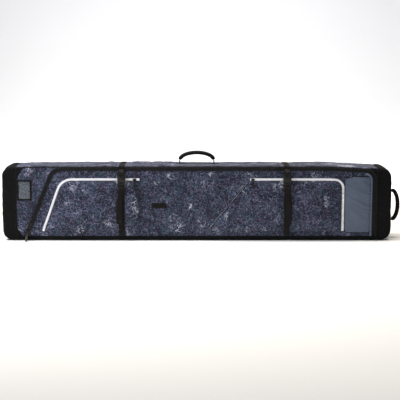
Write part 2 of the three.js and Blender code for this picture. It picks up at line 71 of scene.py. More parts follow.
def srgb(red: int, green: int, blue: int) -> Colour:
    """Linear colour of a display colour given in steps from 0 to 255."""
    steps = (red / 255, green / 255, blue / 255)
    return tuple(c / 12.92 if c <= 0.04045 else ((c + 0.055) / 1.055) ** 2.4 for c in steps)


def rise(value: Array, low: float, high: float) -> Array:
    """Smooth step from 0 at low to 1 at high."""
    t = np.clip((value - low) / (high - low), 0, 1)
    return t * t * (3 - 2 * t)


def bell(value: Array, width: float) -> Array:
    """Smooth hump of height 1 round zero."""
    return np.exp(-(value / width) ** 2)


def noise(points: Array, seed: int) -> Array:
    """Smooth value noise from -1 to 1.

    Args:
        points: Places in units of the noise's own cell, shape (n, 3).
        seed: Picks one of the noise fields.

    Returns:
        One value for each point.
    """
    cell = np.floor(points).astype(np.int64)
    part = points - cell
    fade = part * part * (3 - 2 * part)
    total = np.zeros(len(points))
    for corner in itertools.product((0, 1), repeat=3):
        at = cell + np.array(corner)
        key = at @ np.array([374761393, 668265263, 1440662683]) + seed * 1274126177
        key = (key ^ (key >> 13)) & 0xFFFFFFFF
        key = (key * 1274126177) & 0xFFFFFFFF
        key = key ^ (key >> 16)
        weight = np.prod(np.where(corner, fade, 1 - fade), axis=1)
        total += weight * ((key & 0xFFFF) / 32767.5 - 1)
    return total


def fractal(points: Array, cell: Sequence[float], seed: int, octaves: int = 3) -> Array:
    """Sum of noise at halving cell sizes.

    Args:
        points: Places in metres, shape (n, 3).
        cell: Size of the largest cell along each axis.
        seed: Picks one of the noise fields.
        octaves: Number of sizes that are added.

    Returns:
        One value for each point, mostly from -1 to 1.
    """
    total = np.zeros(len(points))
    for octave in range(octaves):
        total += noise(points / np.array(cell) * 2**octave, seed + octave) / 2**octave
    return total / 1.5


# ---------------------------------------------------------------- shaders


class Value:
    """A socket that takes part in Python expressions, which add Math nodes."""

    def __init__(self, shader: "Shader", socket: bpy.types.NodeSocket) -> None:
        """Wraps an output socket of a shader."""
        self.shader = shader
        self.socket = socket

    def _math(self, operation: str, *terms: "Value | float") -> "Value":
        """Adds one Math node."""
        return self.shader.node("Math", {"operation": operation}, dict(enumerate(terms)))

    def __add__(self, other: "Value | float") -> "Value":
        """Sum."""
        return self._math("ADD", self, other)

    def __sub__(self, other: "Value | float") -> "Value":
        """Difference."""
        return self._math("SUBTRACT", self, other)

    def __rsub__(self, other: float) -> "Value":
        """Reflected difference."""
        return self._math("SUBTRACT", other, self)

    def __mul__(self, other: "Value | float") -> "Value":
        """Product."""
        return self._math("MULTIPLY", self, other)

    __radd__ = __add__
    __rmul__ = __mul__

    def wave(self, pitch: float) -> "Value":
        """Sine of a length, from 0 to 1, that repeats at a pitch."""
        return self._math("SINE", self * (2 * math.pi / pitch)) * 0.5 + 0.5

    def ramp(self, low: float, high: float) -> "Value":
        """Smooth step from 0 at low to 1 at high."""
        settings = {"interpolation_type": "SMOOTHSTEP"}
        return self.shader.node("MapRange", settings, {"Value": self, "From Min": low, "From Max": high})

    def most(self, other: "Value | float") -> "Value":
        """The larger of two values."""
        return self._math("MAXIMUM", self, other)


class Shader:
    """A material under construction round one Principled BSDF."""

    def __init__(self, name: str, **constants: float) -> None:
        """Starts a material.

        Args:
            name: The material's name.
            constants: Values of the BSDF's own sockets, with _ for a space.
        """
        self.material = bpy.data.materials.new(f"{name}_finish")
        self.material.use_nodes = True
        self.tree = self.material.node_tree
        self.bsdf = self.tree.nodes["Principled BSDF"]
        for key, value in constants.items():
            self.bsdf.inputs[key.replace("_", " ")].default_value = value

    def feed(self, socket: bpy.types.NodeSocket, value: Any) -> None:
        """Links a wrapped socket, or sets a constant."""
        if isinstance(value, Value):
            self.tree.links.new(value.socket, socket)
        elif socket.type == "RGBA" and len(value) == 3:
            socket.default_value = (*value, 1)
        else:
            socket.default_value = value

    def node(self, kind: str, settings: dict[str, Any] | None = None,
             inputs: dict[Any, Any] | None = None, output: int | str = 0) -> Value:
        """Adds a node.

        Args:
            kind: The node's type without its ShaderNode prefix.
            settings: Properties, set before the sockets. "stops" fills a colour ramp.
            inputs: Socket names or numbers, with their values or links.
            output: The output that is returned.

        Returns:
            The wrapped output.
        """
        node = self.tree.nodes.new("ShaderNode" + kind)
        for key, value in (settings or {}).items():
            if key == "stops":
                self._fill(node.color_ramp, value)
            else:
                setattr(node, key, value)
        for key, value in (inputs or {}).items():
            self.feed(node.inputs[key], value)
        return Value(self, node.outputs[output])

    @staticmethod
    def _fill(ramp: bpy.types.ColorRamp, stops: Sequence[tuple[float, Colour]]) -> None:
        """Sets a ramp's stops."""
        while len(ramp.elements) < len(stops):
            ramp.elements.new(1)
        for element, (place, colour) in zip(ramp.elements, stops):
            element.position = place
            element.color = (*colour, 1)

    def mix(self, factor: Any, first: Any, second: Any) -> Value:
        """Mixes two colours."""
        return self.node("Mix", {"data_type": "RGBA"}, {0: factor, 6: first, 7: second}, 2)

    def place(self) -> Value:
        """Place on the object at rest, in metres."""
        return self.node("TexCoord", output="Object")

    def cloth(self) -> tuple[Value, Value]:
        """Two lengths along the cloth, in metres, from the piece's own layout."""
        layout = self.node("UVMap", {"uv_map": LAYOUT})
        split = self.node("SeparateXYZ", inputs={0: layout})
        return split, Value(self, split.socket.node.outputs[1])

    def noise(self, vector: Value, scale: float, detail: float = 2, roughness: float = 0.5,
              distortion: float = 0) -> Value:
        """Noise whose cells measure one metre over its scale."""
        return self.node("TexNoise", inputs={"Vector": vector, "Scale": scale, "Detail": detail,
                                             "Roughness": roughness, "Distortion": distortion})

    def warp(self, vector: Value, amount: Value, reach: float) -> Value:
        """Shifts a place by a varying amount."""
        settings = {"operation": "MULTIPLY_ADD"}
        shift = self.node("CombineXYZ", inputs={0: amount, 1: amount * -0.6, 2: amount * 0.8})
        return self.node("VectorMath", settings, {0: shift, 1: (reach, reach, reach), 2: vector})

    def colour(self, value: Any) -> None:
        """Sets the base colour."""
        self.feed(self.bsdf.inputs["Base Color"], value)

    def rough(self, value: Any) -> None:
        """Sets the roughness."""
        self.feed(self.bsdf.inputs["Roughness"], value)

    def bump(self, height: Value, distance: float, strength: float = 1) -> None:
        """Raises the surface by a height from 0 to 1 times a distance."""
        normal = self.node("Bump", inputs={"Height": height, "Distance": distance, "Strength": strength})
        self.feed(self.bsdf.inputs["Normal"], normal)


LAYOUT = "cloth"
BUILT: dict[str, bpy.types.Material] = {}
TOW_SAG = 9.5 * MM
WHEEL_SAG = 2.5 * MM
UNSETTLED = ("handle_anchor", "housing", "axle")


@dataclass(frozen=True)
class Finish:
    """A finish of the bag: a material and the record's slot that it belongs to."""

    name: str
    slot: str

    def paint(self) -> Shader:
        """Builds the nodes."""
        raise NotImplementedError

    def material(self) -> bpy.types.Material:
        """The material, which is built once."""
        if self.name not in BUILT:
            BUILT[self.name] = self.paint().material
        return BUILT[self.name]


@dataclass(frozen=True)
class PrintedCloth(Finish):
    """Dark polyester with a mottled feathery print in several inks."""

    ground: Colour = srgb(28, 30, 45)
    deep: Colour = srgb(6, 7, 12)
    pale: Colour = srgb(112, 117, 146)
    teal: Colour = srgb(46, 72, 84)
    plum: Colour = srgb(78, 58, 84)
    fleck: Colour = srgb(222, 225, 244)

    def paint(self) -> Shader:
        """Short strokes follow a wandering direction, and inks change in patches."""
        shader = Shader(self.name, Sheen_Weight=0.22, Sheen_Roughness=0.35, Specular_IOR_Level=0.1)
        place = shader.place()
        drift = shader.noise(place, 14, 3, 0.55, 0.6)
        strokes = shader.node(
            "TexWave", {"wave_type": "BANDS", "bands_direction": "DIAGONAL"},
            {"Vector": place, "Scale": 20, "Distortion": 30, "Detail": 3, "Detail Scale": 2.2,
             "Detail Roughness": 0.6, "Phase Offset": drift * 14}, 1)
        feather = shader.noise(place, 58, 4, 0.58, 3.6)
        vein = shader.node("TexVoronoi", {"feature": "DISTANCE_TO_EDGE"},
                           {"Vector": shader.warp(place, drift, 0.05), "Scale": 62})
        tone = strokes * 0.34 + feather.ramp(0.36, 0.64) * 0.52 + drift.ramp(0.3, 0.7) * 0.3
        body = shader.node("ValToRGB", {"stops": [
            (0.3, self.deep), (0.52, self.ground), (0.72, self.ground), (1.0, self.pale)]}, {0: tone})
        patch = shader.noise(place, 34, 2, 0.5, 0.8).ramp(0.5, 0.6)
        body = shader.mix(patch * strokes.ramp(0.4, 0.7) * 0.75, body, self.teal)
        other = shader.noise(place, 41, 2, 0.5, 1.2).ramp(0.55, 0.64)
        body = shader.mix(other * feather.ramp(0.42, 0.6) * 0.7, body, self.plum)
        body = shader.mix((1 - vein.ramp(0, 0.055)) * feather.ramp(0.4, 0.55) * 0.7, body, self.deep)
        for scale, share in ((19, 0.5), (33, 0.56)):
            level = shader.noise(place, scale, 2, 0.5, 1.8) - 0.5
            stroke = 1 - (level * level).ramp(0.00008, 0.0011)
            body = shader.mix(stroke * feather.ramp(0.44, 0.6) * share, body, self.pale)
            splash = shader.noise(place, 9 + scale / 4, 1, 0.5).ramp(0.62, 0.78)
            body = shader.mix(stroke * splash * 0.75, body, self.fleck)
        across, along = shader.cloth()
        weave = across.wave(1.1 * MM) * along.wave(1.1 * MM)
        fibre = shader.noise(place, 2200, 1, 0.5)
        shader.colour(shader.mix(weave * 0.1 + fibre * 0.08, body, self.pale))
        shader.rough(0.78 + 0.18 * feather)
        shader.bump(weave + fibre * 0.5 + feather * 0.35, 0.25 * MM, 0.5)
        return shader


@dataclass(frozen=True)
class CoarseCloth(Finish):
    """Plain cloth in a visible basket weave."""

    thread: Colour
    pitch: float = 1.9 * MM
    wear: Colour = srgb(54, 54, 56)

    def paint(self) -> Shader:
        """Two threads at a time go over and under, and the high spots catch dust."""
        shader = Shader(self.name, Specular_IOR_Level=0.05)
        place = shader.place()
        across, along = shader.cloth()
        over = across.wave(self.pitch) * along.wave(self.pitch)
        under = (1 - across.wave(self.pitch)) * (1 - along.wave(self.pitch))
        weave = over.most(under)
        cloud = shader.noise(place, 14, 4, 0.6)
        fibre = shader.noise(place, 1500, 2, 0.6)
        dust = cloud.ramp(0.5, 0.8) * weave.ramp(0.3, 0.9) * 0.4 + fibre * 0.12
        shader.colour(shader.mix(dust, self.thread, self.wear))
        shader.rough(0.62 + 0.25 * cloud)
        shader.bump(weave + fibre * 0.3, 0.45 * MM, 0.7)
        return shader


@dataclass(frozen=True)
class CoatedCloth(Finish):
    """Smooth coated cloth with a faint grain and scuffs."""

    coat: Colour
    scuff: Colour

    def paint(self) -> Shader:
        """The coat is even, with a fine leather grain and pale scuffs."""
        shader = Shader(self.name, Specular_IOR_Level=0.15)
        place = shader.place()
        grain = shader.node("TexVoronoi", {"feature": "DISTANCE_TO_EDGE"}, {"Vector": place, "Scale": 520})
        cloud = shader.noise(place, 18, 4, 0.65)
        scratch = shader.noise(place, 90, 5, 0.7, 3).ramp(0.6, 0.75) * cloud.ramp(0.45, 0.7)
        tone = shader.mix(cloud.ramp(0.3, 0.75) * 0.5, self.coat, tuple(c * 0.72 for c in self.coat))
        shader.colour(shader.mix(scratch * 0.45, tone, self.scuff))
        shader.rough(0.42 + 0.25 * cloud + 0.1 * scratch)
        shader.bump(grain.ramp(0, 0.12) + cloud * 0.6, 0.18 * MM, 0.5)
        return shader


@dataclass(frozen=True)
class Webbing(Finish):
    """Ribbed nylon webbing, with ribs that run along it."""

    yarn: Colour
    light: Colour
    rib: float = 2.1 * MM

    def paint(self) -> Shader:
        """Ribs run along the strap and chevrons of yarn cross them."""
        shader = Shader(self.name, Specular_IOR_Level=0.1)
        place = shader.place()
        along, across = shader.cloth()
        ribs = across.wave(self.rib)
        chevron = (along + ribs * (0.6 * MM)).wave(1.3 * MM)
        fibre = shader.noise(place, 1800, 2, 0.6)
        cloud = shader.noise(place, 40, 3, 0.6)
        lit = ribs * chevron * 0.45 + fibre * 0.2 + cloud.ramp(0.5, 0.8) * 0.25
        shader.colour(shader.mix(lit, self.yarn, self.light))
        shader.rough(0.5 + 0.3 * cloud)
        shader.bump(ribs + chevron * 0.5 + fibre * 0.3, 0.35 * MM, 0.7)
        return shader


@dataclass(frozen=True)
class ZipTape(Finish):
    """Fine twill tape of a zip."""

    yarn: Colour
    shade: Colour

    def paint(self) -> Shader:
        """Fine diagonal twill, with soiling in patches."""
        shader = Shader(self.name, Specular_IOR_Level=0.08)
        place = shader.place()
        along, across = shader.cloth()
        twill = (along + across).wave(0.9 * MM)
        ribs = across.wave(1.5 * MM)
        cloud = shader.noise(place, 45, 4, 0.65)
        tone = twill * 0.2 + ribs * 0.15 + cloud.ramp(0.45, 0.8) * 0.35
        shader.colour(shader.mix(tone, self.yarn, self.shade))
        shader.rough(0.6 + 0.2 * cloud)
        shader.bump(twill + ribs * 0.6, 0.2 * MM, 0.6)
        return shader


@dataclass(frozen=True)
class Moulding(Finish):
    """Moulded plastic with a fine spark texture."""

    plastic: Colour
    gloss: float = 0.4
    rub: Colour = srgb(96, 96, 98)

    def paint(self) -> Shader:
        """Fine spark texture, with handling marks that are smoother and paler."""
        shader = Shader(self.name, Specular_IOR_Level=0.25)
        place = shader.place()
        spark = shader.noise(place, 1600, 2, 0.7)
        cloud = shader.noise(place, 60, 4, 0.6)
        marks = shader.noise(place, 260, 5, 0.7, 2).ramp(0.62, 0.74)
        shader.colour(shader.mix(marks * 0.3 + cloud.ramp(0.5, 0.9) * 0.12, self.plastic, self.rub))
        shader.rough(self.gloss - 0.08 + 0.16 * cloud + 0.12 * marks)
        shader.bump(spark + cloud * 0.3, 0.08 * MM, 0.6)
        return shader


@dataclass(frozen=True)
class Tread(Finish):
    """Soft wheel rubber with dust in its pores."""

    rubber: Colour

    def paint(self) -> Shader:
        """Matt rubber, paler where it has rolled."""
        shader = Shader(self.name, Specular_IOR_Level=0.35)
        place = shader.place()
        pores = shader.noise(place, 900, 3, 0.6)
        cloud = shader.noise(place, 55, 4, 0.65)
        shader.colour(shader.mix(cloud.ramp(0.4, 0.8) * 0.5, self.rubber, srgb(84, 82, 78)))
        shader.rough(0.7 + 0.2 * cloud)
        shader.bump(pores + cloud, 0.2 * MM, 0.6)
        return shader


@dataclass(frozen=True)
class Steel(Finish):
    """Plated steel, lightly brushed round its length."""

    plate: Colour

    def paint(self) -> Shader:
        """Brushing shows as bands of roughness."""
        shader = Shader(self.name, Metallic=1)
        place = shader.place()
        brush = shader.noise(place, 700, 3, 0.7, 4)
        cloud = shader.noise(place, 80, 3, 0.6)
        shader.colour(shader.mix(cloud * 0.4, self.plate, tuple(c * 0.6 for c in self.plate)))
        shader.rough(0.22 + 0.25 * brush)
        shader.bump(brush, 0.05 * MM, 0.4)
        return shader


@dataclass(frozen=True)
class Film(Finish):
    """Clear soft window with a slight haze."""

    tint: Colour

    def paint(self) -> Shader:
        """Nearly clear, cloudier in patches."""
        shader = Shader(self.name, Specular_IOR_Level=0.6)
        place = shader.place()
        haze = shader.noise(place, 60, 4, 0.6)
        shader.colour(shader.mix(haze, self.tint, tuple(min(1, c * 1.3) for c in self.tint)))
        shader.rough(0.12 + 0.2 * haze)
        shader.feed(shader.bsdf.inputs["Alpha"], 0.28 + 0.2 * haze)
        shader.bump(shader.noise(place, 35, 2, 0.5), 0.8 * MM, 0.5)
        return shader


@dataclass(frozen=True)
class Paper(Finish):
    """Blank label card with a faint fibre."""

    stock: Colour

    def paint(self) -> Shader:
        """Soft paper fibre and slight yellowing."""
        shader = Shader(self.name, Specular_IOR_Level=0.2)
        place = shader.place()
        fibre = shader.noise(place, 700, 5, 0.7, 1)
        cloud = shader.noise(place, 30, 3, 0.5)
        shader.colour(shader.mix(fibre * 0.25 + cloud * 0.25, self.stock, tuple(c * 0.7 for c in self.stock)))
        shader.rough(0.7 + 0.15 * fibre)
        shader.bump(fibre, 0.1 * MM, 0.4)
        return shader


PRINT = PrintedCloth("printed_cloth", "printed_cloth")
BLACK_CLOTH = CoarseCloth("black_cloth", "black_cloth", srgb(14, 14, 15))
LINING = CoarseCloth("lining_cloth", "padding", srgb(58, 60, 66), 1.3 * MM, srgb(112, 114, 120))
SCUFF = CoatedCloth("coated_cloth", "coated_cloth", srgb(84, 94, 113), srgb(132, 140, 156))
WEB = Webbing("webbing", "webbing", srgb(8, 8, 9), srgb(40, 39, 38))
BLACK_TAPE = ZipTape("black_zip_tape", "main_zip", srgb(15, 15, 16), srgb(50, 50, 54))
WHITE_TAPE = ZipTape("white_zip_tape", "pocket_zip", srgb(244, 246, 252), srgb(200, 203, 216))
WHITE_COIL = Moulding("white_zip_coil", "pocket_zip", srgb(250, 250, 254), 0.35, srgb(215, 218, 228))
PLASTIC = Moulding("moulded_plastic", "moulding", srgb(20, 20, 21))
HUB = Moulding("hub_plastic", "hub", srgb(92, 96, 104), 0.38, srgb(150, 152, 158))
BOARD = Moulding("stiff_board", "stiffener", srgb(36, 36, 38), 0.5)
TYRE = Tread("wheel_rubber", "tyre", srgb(24, 24, 24))
AXLE = Steel("plated_steel", "axle", srgb(190, 192, 196))
CARD = Paper("blank_card", "card", srgb(58, 60, 70))
CLEAR = Film("clear_film", "film", srgb(96, 102, 114))
DARK_THREAD = Webbing("dark_thread", "black_cloth", srgb(38, 38, 42), srgb(88, 88, 96), 0.5 * MM)
PALE_THREAD = Webbing("pale_thread", "pocket_zip", srgb(205, 207, 220), srgb(240, 241, 248), 0.5 * MM)


# ---------------------------------------------------------------- meshes


@dataclass
class Solid:
    """Vertices, faces and a layout in metres, before they become a piece."""

    points: Array
    faces: list[tuple[int, ...]]
    layout: Array | None = None

    def joined(self, others: "Sequence[Solid]") -> "Solid":
        """This solid and others as one."""
        parts = [self, *others]
        starts = np.cumsum([0, *(len(part.points) for part in parts)])
        faces = [tuple(i + int(s) for i in f) for part, s in zip(parts, starts) for f in part.faces]
        whole = all(part.layout is not None for part in parts)
        layout = np.vstack([part.layout for part in parts]) if whole else None
        return Solid(np.vstack([part.points for part in parts]), faces, layout)


def join(parts: Sequence[Solid]) -> Solid:
    """Several solids as one."""
    return parts[0].joined(parts[1:])


def mesh_of(name: str, solid: Solid) -> bpy.types.Mesh:
    """A Blender mesh of a solid."""
    mesh = bpy.data.meshes.new(name)
    mesh.from_pydata(np.asarray(solid.points).tolist(), [], solid.faces)
    mesh.validate()
    if solid.layout is not None:
        index = np.empty(len(mesh.loops), np.int32)
        mesh.loops.foreach_get("vertex_index", index)
        values = np.asarray(solid.layout, np.float32)[index]
        mesh.uv_layers.new(name=LAYOUT).data.foreach_set("uv", values.ravel())
    return mesh


def coordinates(mesh: bpy.types.Mesh) -> Array:
    """The places of a mesh's vertices, shape (n, 3)."""
    places = np.empty(len(mesh.vertices) * 3)
    mesh.vertices.foreach_get("co", places)
    return places.reshape(-1, 3)


def placed(name: str, data: bpy.types.ID) -> bpy.types.Object:
    """A new object in the scene."""
    thing = bpy.data.objects.new(name, data)
    bpy.context.scene.collection.objects.link(thing)
    return thing


def evaluated(thing: bpy.types.Object) -> bpy.types.Mesh:
    """A new mesh of an object with its modifiers applied."""
    graph = bpy.context.evaluated_depsgraph_get()
    return bpy.data.meshes.new_from_object(thing.evaluated_get(graph))


def lay_out(mesh: bpy.types.Mesh) -> None:
    """Lays cloth on a mesh by the axis that each face looks along."""
    loops = np.empty(len(mesh.loops), np.int32)
    mesh.loops.foreach_get("vertex_index", loops)
    normals = np.empty(len(mesh.polygons) * 3)
    mesh.polygons.foreach_get("normal", normals)
    totals = np.empty(len(mesh.polygons), np.int32)
    mesh.polygons.foreach_get("loop_total", totals)
    axis = np.repeat(np.abs(normals.reshape(-1, 3)).argmax(1), totals)
    spots = coordinates(mesh)[loops]
    across = np.where(axis == 0, spots[:, 1], spots[:, 0])
    along = np.where(axis == 2, spots[:, 1], spots[:, 2])
    layer = mesh.uv_layers.get(LAYOUT) or mesh.uv_layers.new(name=LAYOUT)
    layer.data.foreach_set("uv", np.column_stack([across, along]).astype(np.float32).ravel())


def settle(mesh: bpy.types.Mesh) -> None:
    """Lets the top of the bag sag at both ends, more at the end with the tow handle."""
    spots = coordinates(mesh)
    x, z = spots[:, 0], spots[:, 2]
    near_end = TOW_SAG * rise(x, 0.52, 0.80) + WHEEL_SAG * rise(-x, 0.66, 0.82)
    spots[:, 2] -= near_end * rise(z, 0.17, 0.30)
    mesh.vertices.foreach_set("co", spots.ravel())
    mesh.update()


def piece(name: str, shape: bpy.types.Mesh | Solid, finish: Finish, body: str | None,
          nodes: Sequence[str] = (), crease: float = 38) -> bpy.types.Object:
    """Makes a finished piece that rides on a body.

    Args:
        name: The piece's name.
        shape: Its mesh or solid, in the row frame.
        finish: Its finish, for material slot 0.
        body: The CAD body that carries it, or None where the piece bends between two.
        nodes: The CAD nodes that it stands for.
        crease: Edges sharper than this angle in degrees stay sharp.

    Returns:
        The new object.
    """
    mesh = mesh_of(name, shape) if isinstance(shape, Solid) else shape
    if LAYOUT not in mesh.uv_layers:
        lay_out(mesh)
    if body in ("shell", "lid") and not any(word in name for word in UNSETTLED):
        settle(mesh)
    mesh.shade_smooth()
    mesh.set_sharp_from_angle(angle=math.radians(crease))
    thing = placed(name, mesh)
    if mesh.materials:
        mesh.materials[0] = finish.material()
    else:
        mesh.materials.append(finish.material())
    if body:
        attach(thing, body)
    if nodes:
        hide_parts(*nodes)
    LOG.info("piece %s: %d faces", name, len(mesh.polygons))
    return thing


def carve(mesh: bpy.types.Mesh, steps: Sequence[tuple[str, Solid]], name: str) -> bpy.types.Mesh:
    """Cuts a mesh with closed solids.

    Args:
        mesh: A closed mesh, which is left as it is.
        steps: Pairs of INTERSECT, DIFFERENCE or UNION and the solid.
        name: The new mesh's name.

    Returns:
        The cut mesh.
    """
    work = placed(name, mesh)
    tools = []
    for operation, solid in steps:
        tools.append(placed("tool", mesh_of("tool", solid)))
        cut = work.modifiers.new(operation, "BOOLEAN")
        cut.operation = operation
        cut.solver = "MANIFOLD"
        cut.object = tools[-1]
    result = evaluated(work)
    result.name = name
    for thing in [work, *tools]:
        bpy.data.objects.remove(thing)
    return result


def softened(mesh: bpy.types.Mesh, width: float) -> bpy.types.Mesh:
    """A copy of a mesh with its sharp edges bevelled."""
    work = placed("work", mesh)
    bevel = work.modifiers.new("bevel", "BEVEL")
    bevel.width = width
    bevel.segments = 2
    bevel.limit_method = "ANGLE"
    bevel.angle_limit = math.radians(35)
    result = evaluated(work)
    bpy.data.objects.remove(work)
    return result


def billow(mesh: bpy.types.Mesh, cell: float, held: Callable[[Array], Array], cap: float,
           push: float = 4, slack: float = 0.02, frames: int = 20) -> bpy.types.Mesh:
    """Fills a sewn piece as cloth, with its seams held.

    Args:
        mesh: A closed mesh.
        cell: Size of the cloth's cells.
        held: Which of the given places the seams hold, as numbers from 0 to 1.
        cap: The farthest that any place may move.
        push: Pressure inside the piece.
        slack: Share by which the cloth is longer than its pattern, which makes it buckle.
        frames: Length of the simulation.

    Returns:
        The filled mesh.
    """
    scene = bpy.context.scene
    work = placed("work", mesh)
    remesh = work.modifiers.new("remesh", "REMESH")
    remesh.mode = "VOXEL"
    remesh.voxel_size = cell
    even = evaluated(work)
    bpy.data.objects.remove(work)
    cloth = placed("cloth", even)
    rest = coordinates(even)
    group = cloth.vertex_groups.new(name="held")
    for index, weight in enumerate(held(rest)):
        group.add([index], float(weight), "REPLACE")
    made = cloth.modifiers.new("cloth", "CLOTH")
    made.settings.quality = 4
    made.settings.use_pressure = True
    made.settings.uniform_pressure_force = push
    made.settings.shrink_min = -slack
    made.settings.vertex_group_mass = "held"
    made.settings.effector_weights.gravity = 0
    made.point_cache.frame_start, made.point_cache.frame_end = 1, frames
    for step in range(1, frames + 1):
        scene.frame_set(step)
    moved = cloth.evaluated_get(bpy.context.evaluated_depsgraph_get()).to_mesh()
    shift = coordinates(moved) - rest
    length = np.linalg.norm(shift, axis=1)
    shift *= np.minimum(1, cap / np.maximum(length, 1e-9))[:, None]
    LOG.info("cloth: %d places, mean move %.2f mm", len(rest), float(length.mean()) / MM)
    bpy.data.objects.remove(cloth)
    scene.frame_set(1)
    even.vertices.foreach_set("co", (rest + shift).ravel())
    even.update()
    return even


def box(low: Sequence[float], high: Sequence[float]) -> Solid:
    """A box between two corners."""
    corners = np.array(list(itertools.product(*zip(low, high))))
    faces = [(0, 1, 3, 2), (4, 6, 7, 5), (0, 4, 5, 1), (2, 3, 7, 6), (0, 2, 6, 4), (1, 5, 7, 3)]
    return Solid(corners, faces)


def prism(outline: Array, near: float, far: float) -> Solid:
    """An outline in X and Z between two Y values, in either turning direction."""
    flat = np.asarray(outline)
    area = np.sum(flat[:, 0] * np.roll(flat[:, 1], -1) - np.roll(flat[:, 0], -1) * flat[:, 1])
    if area < 0:
        flat = flat[::-1]
    count = len(flat)
    rows = [np.column_stack([flat[:, 0], np.full(count, y), flat[:, 1]]) for y in sorted((near, far))]
    sides = [(i, (i + 1) % count, (i + 1) % count + count, i + count) for i in range(count)]
    caps = [tuple(range(count - 1, -1, -1)), tuple(range(count, 2 * count))]
    return Solid(np.vstack(rows), [tuple(reversed(face)) for face in sides + caps])


def layers(rows: int, columns: int, flipped: bool = False) -> list[tuple[int, ...]]:
    """Faces of a closed sheet: two grids of points, one after the other, joined round the rim."""
    count = rows * columns
    index = np.arange(count).reshape(rows, columns)
    quads = np.stack([index[:-1, :-1], index[1:, :-1], index[1:, 1:], index[:-1, 1:]], -1).reshape(-1, 4)
    rim = [*index[:, 0], *index[-1, 1:], *index[::-1, -1][1:], *index[0, ::-1][1:-1]]
    walls = [(int(b), int(a), int(a) + count, int(b) + count) for a, b in zip(rim, [*rim[1:], rim[0]])]
    faces = [*map(tuple, quads.tolist()), *map(tuple, (quads[:, ::-1] + count).tolist()), *walls]
    return [tuple(reversed(face)) for face in faces] if flipped else faces


def rounded(corners: Sequence[Sequence[float]], closed: bool = True, steps: int = 10) -> Array:
    """Points of an outline or line with round corners.

    Args:
        corners: Corners as (a, b, radius).
        closed: Whether the line meets itself.
        steps: Steps in each round corner.

    Returns:
        The points, shape (n, 2).
    """
    points = []
    count = len(corners)
    for i, (a, b, radius) in enumerate(corners):
        corner = np.array([a, b])
        if radius <= 0 or (not closed and i in (0, count - 1)):
            points.append(corner)
            continue
        back = np.array(corners[i - 1][:2]) - corner
        ahead = np.array(corners[(i + 1) % count][:2]) - corner
        back, ahead = back / np.linalg.norm(back), ahead / np.linalg.norm(ahead)
        half = math.acos(float(np.clip(back @ ahead, -1, 1))) / 2
        middle = (back + ahead) / np.linalg.norm(back + ahead)
        centre = corner + middle * radius / math.sin(half)
        start = corner + back * radius / math.tan(half) - centre
        end = corner + ahead * radius / math.tan(half) - centre
        turn = math.atan2(start[0] * end[1] - start[1] * end[0], float(start @ end))
        for k in range(steps + 1):
            c, s = math.cos(turn * k / steps), math.sin(turn * k / steps)
            points.append(centre + np.array([c * start[0] - s * start[1], s * start[0] + c * start[1]]))
    return np.array(points)


def spaced(line: Array, step: float) -> Array:
    """The same open line with points at an even step."""
    line = np.asarray(line, float)
    lengths = np.linalg.norm(np.diff(line, axis=0), axis=1)
    total = np.concatenate([[0], np.cumsum(lengths)])
    places = np.linspace(0, total[-1], max(2, int(round(total[-1] / step)) + 1))
    return np.column_stack([np.interp(places, total, line[:, k]) for k in range(line.shape[1])])


def tangents(line: Array) -> Array:
    """Unit directions along a line."""
    steps = np.gradient(line, axis=0)
    return steps / np.linalg.norm(steps, axis=1)[:, None]


def each(direction: Array, line: Array) -> Array:
    """The same direction for every point of a line."""
    return np.tile(direction, (len(line), 1))


def facing(line: Array) -> Array:
    """Unit directions square to a line that runs across X, on the side of the lid."""
    normal = np.cross(tangents(line), ALONG)
    return normal * -np.sign(normal[:, 1:2])


def resized(outline: Array, a: float, b: float) -> Array:
    """An outline scaled about its middle."""
    centre = outline.mean(0)
    return centre + (outline - centre) * np.array([a, b])


def sweep(line: Array, profile: Sequence[tuple[float, float]], across: Array, normal: Array,
          lift: Callable[[Array], Array] | None = None) -> Solid:
    """Carries a closed profile along a line.

    Args:
        line: Points of the line, shape (n, 3).
        profile: Corners as (across, normal) lengths.
        across: Unit directions, one for each point of the line.
        normal: Unit directions, one for each point of the line.
        lift: Moves the finished points, such as onto a soft surface.

    Returns:
        The closed solid, laid out along and across.
    """
    count, width = len(line), len(profile)
    run = np.concatenate([[0], np.cumsum(np.linalg.norm(np.diff(line, axis=0), axis=1))])
    points = np.vstack([
        line[i] + a * across[i] + h * normal[i] for i in range(count) for a, h in profile])
    girth = np.cumsum([0, *(math.dist(profile[k], profile[k + 1]) for k in range(width - 1))])
    layout = np.array([(run[i], girth[k]) for i in range(count) for k in range(width)])
    faces = []
    for i, k in itertools.product(range(count - 1), range(width)):
        here, there = i * width + k, i * width + (k + 1) % width
        faces.append((here, there, there + width, here + width))
    faces.append(tuple(range(width - 1, -1, -1)))
    faces.append(tuple(range((count - 1) * width, count * width)))
    volume = np.cross(across[0], normal[0]) @ (line[1] - line[0])
    area = sum(p[0] * q[1] - q[0] * p[1] for p, q in zip(profile, [*profile[1:], profile[0]]))
    if volume * area < 0:
        faces = [tuple(reversed(face)) for face in faces]
    if lift:
        points = lift(points)
    return Solid(points, faces, layout)


def oval(width: float, height: float, sides: int = 16, fullness: float = 0.7) -> list[tuple[float, float]]:
    """A rounded section: fullness 1 is an ellipse, and less is squarer."""
    section = []
    for k in range(sides):
        c, s = math.cos(2 * math.pi * (k + 0.5) / sides), math.sin(2 * math.pi * (k + 0.5) / sides)
        section.append((width / 2 * math.copysign(abs(c) ** fullness, c),
                        height / 2 * math.copysign(abs(s) ** fullness, s)))
    return section


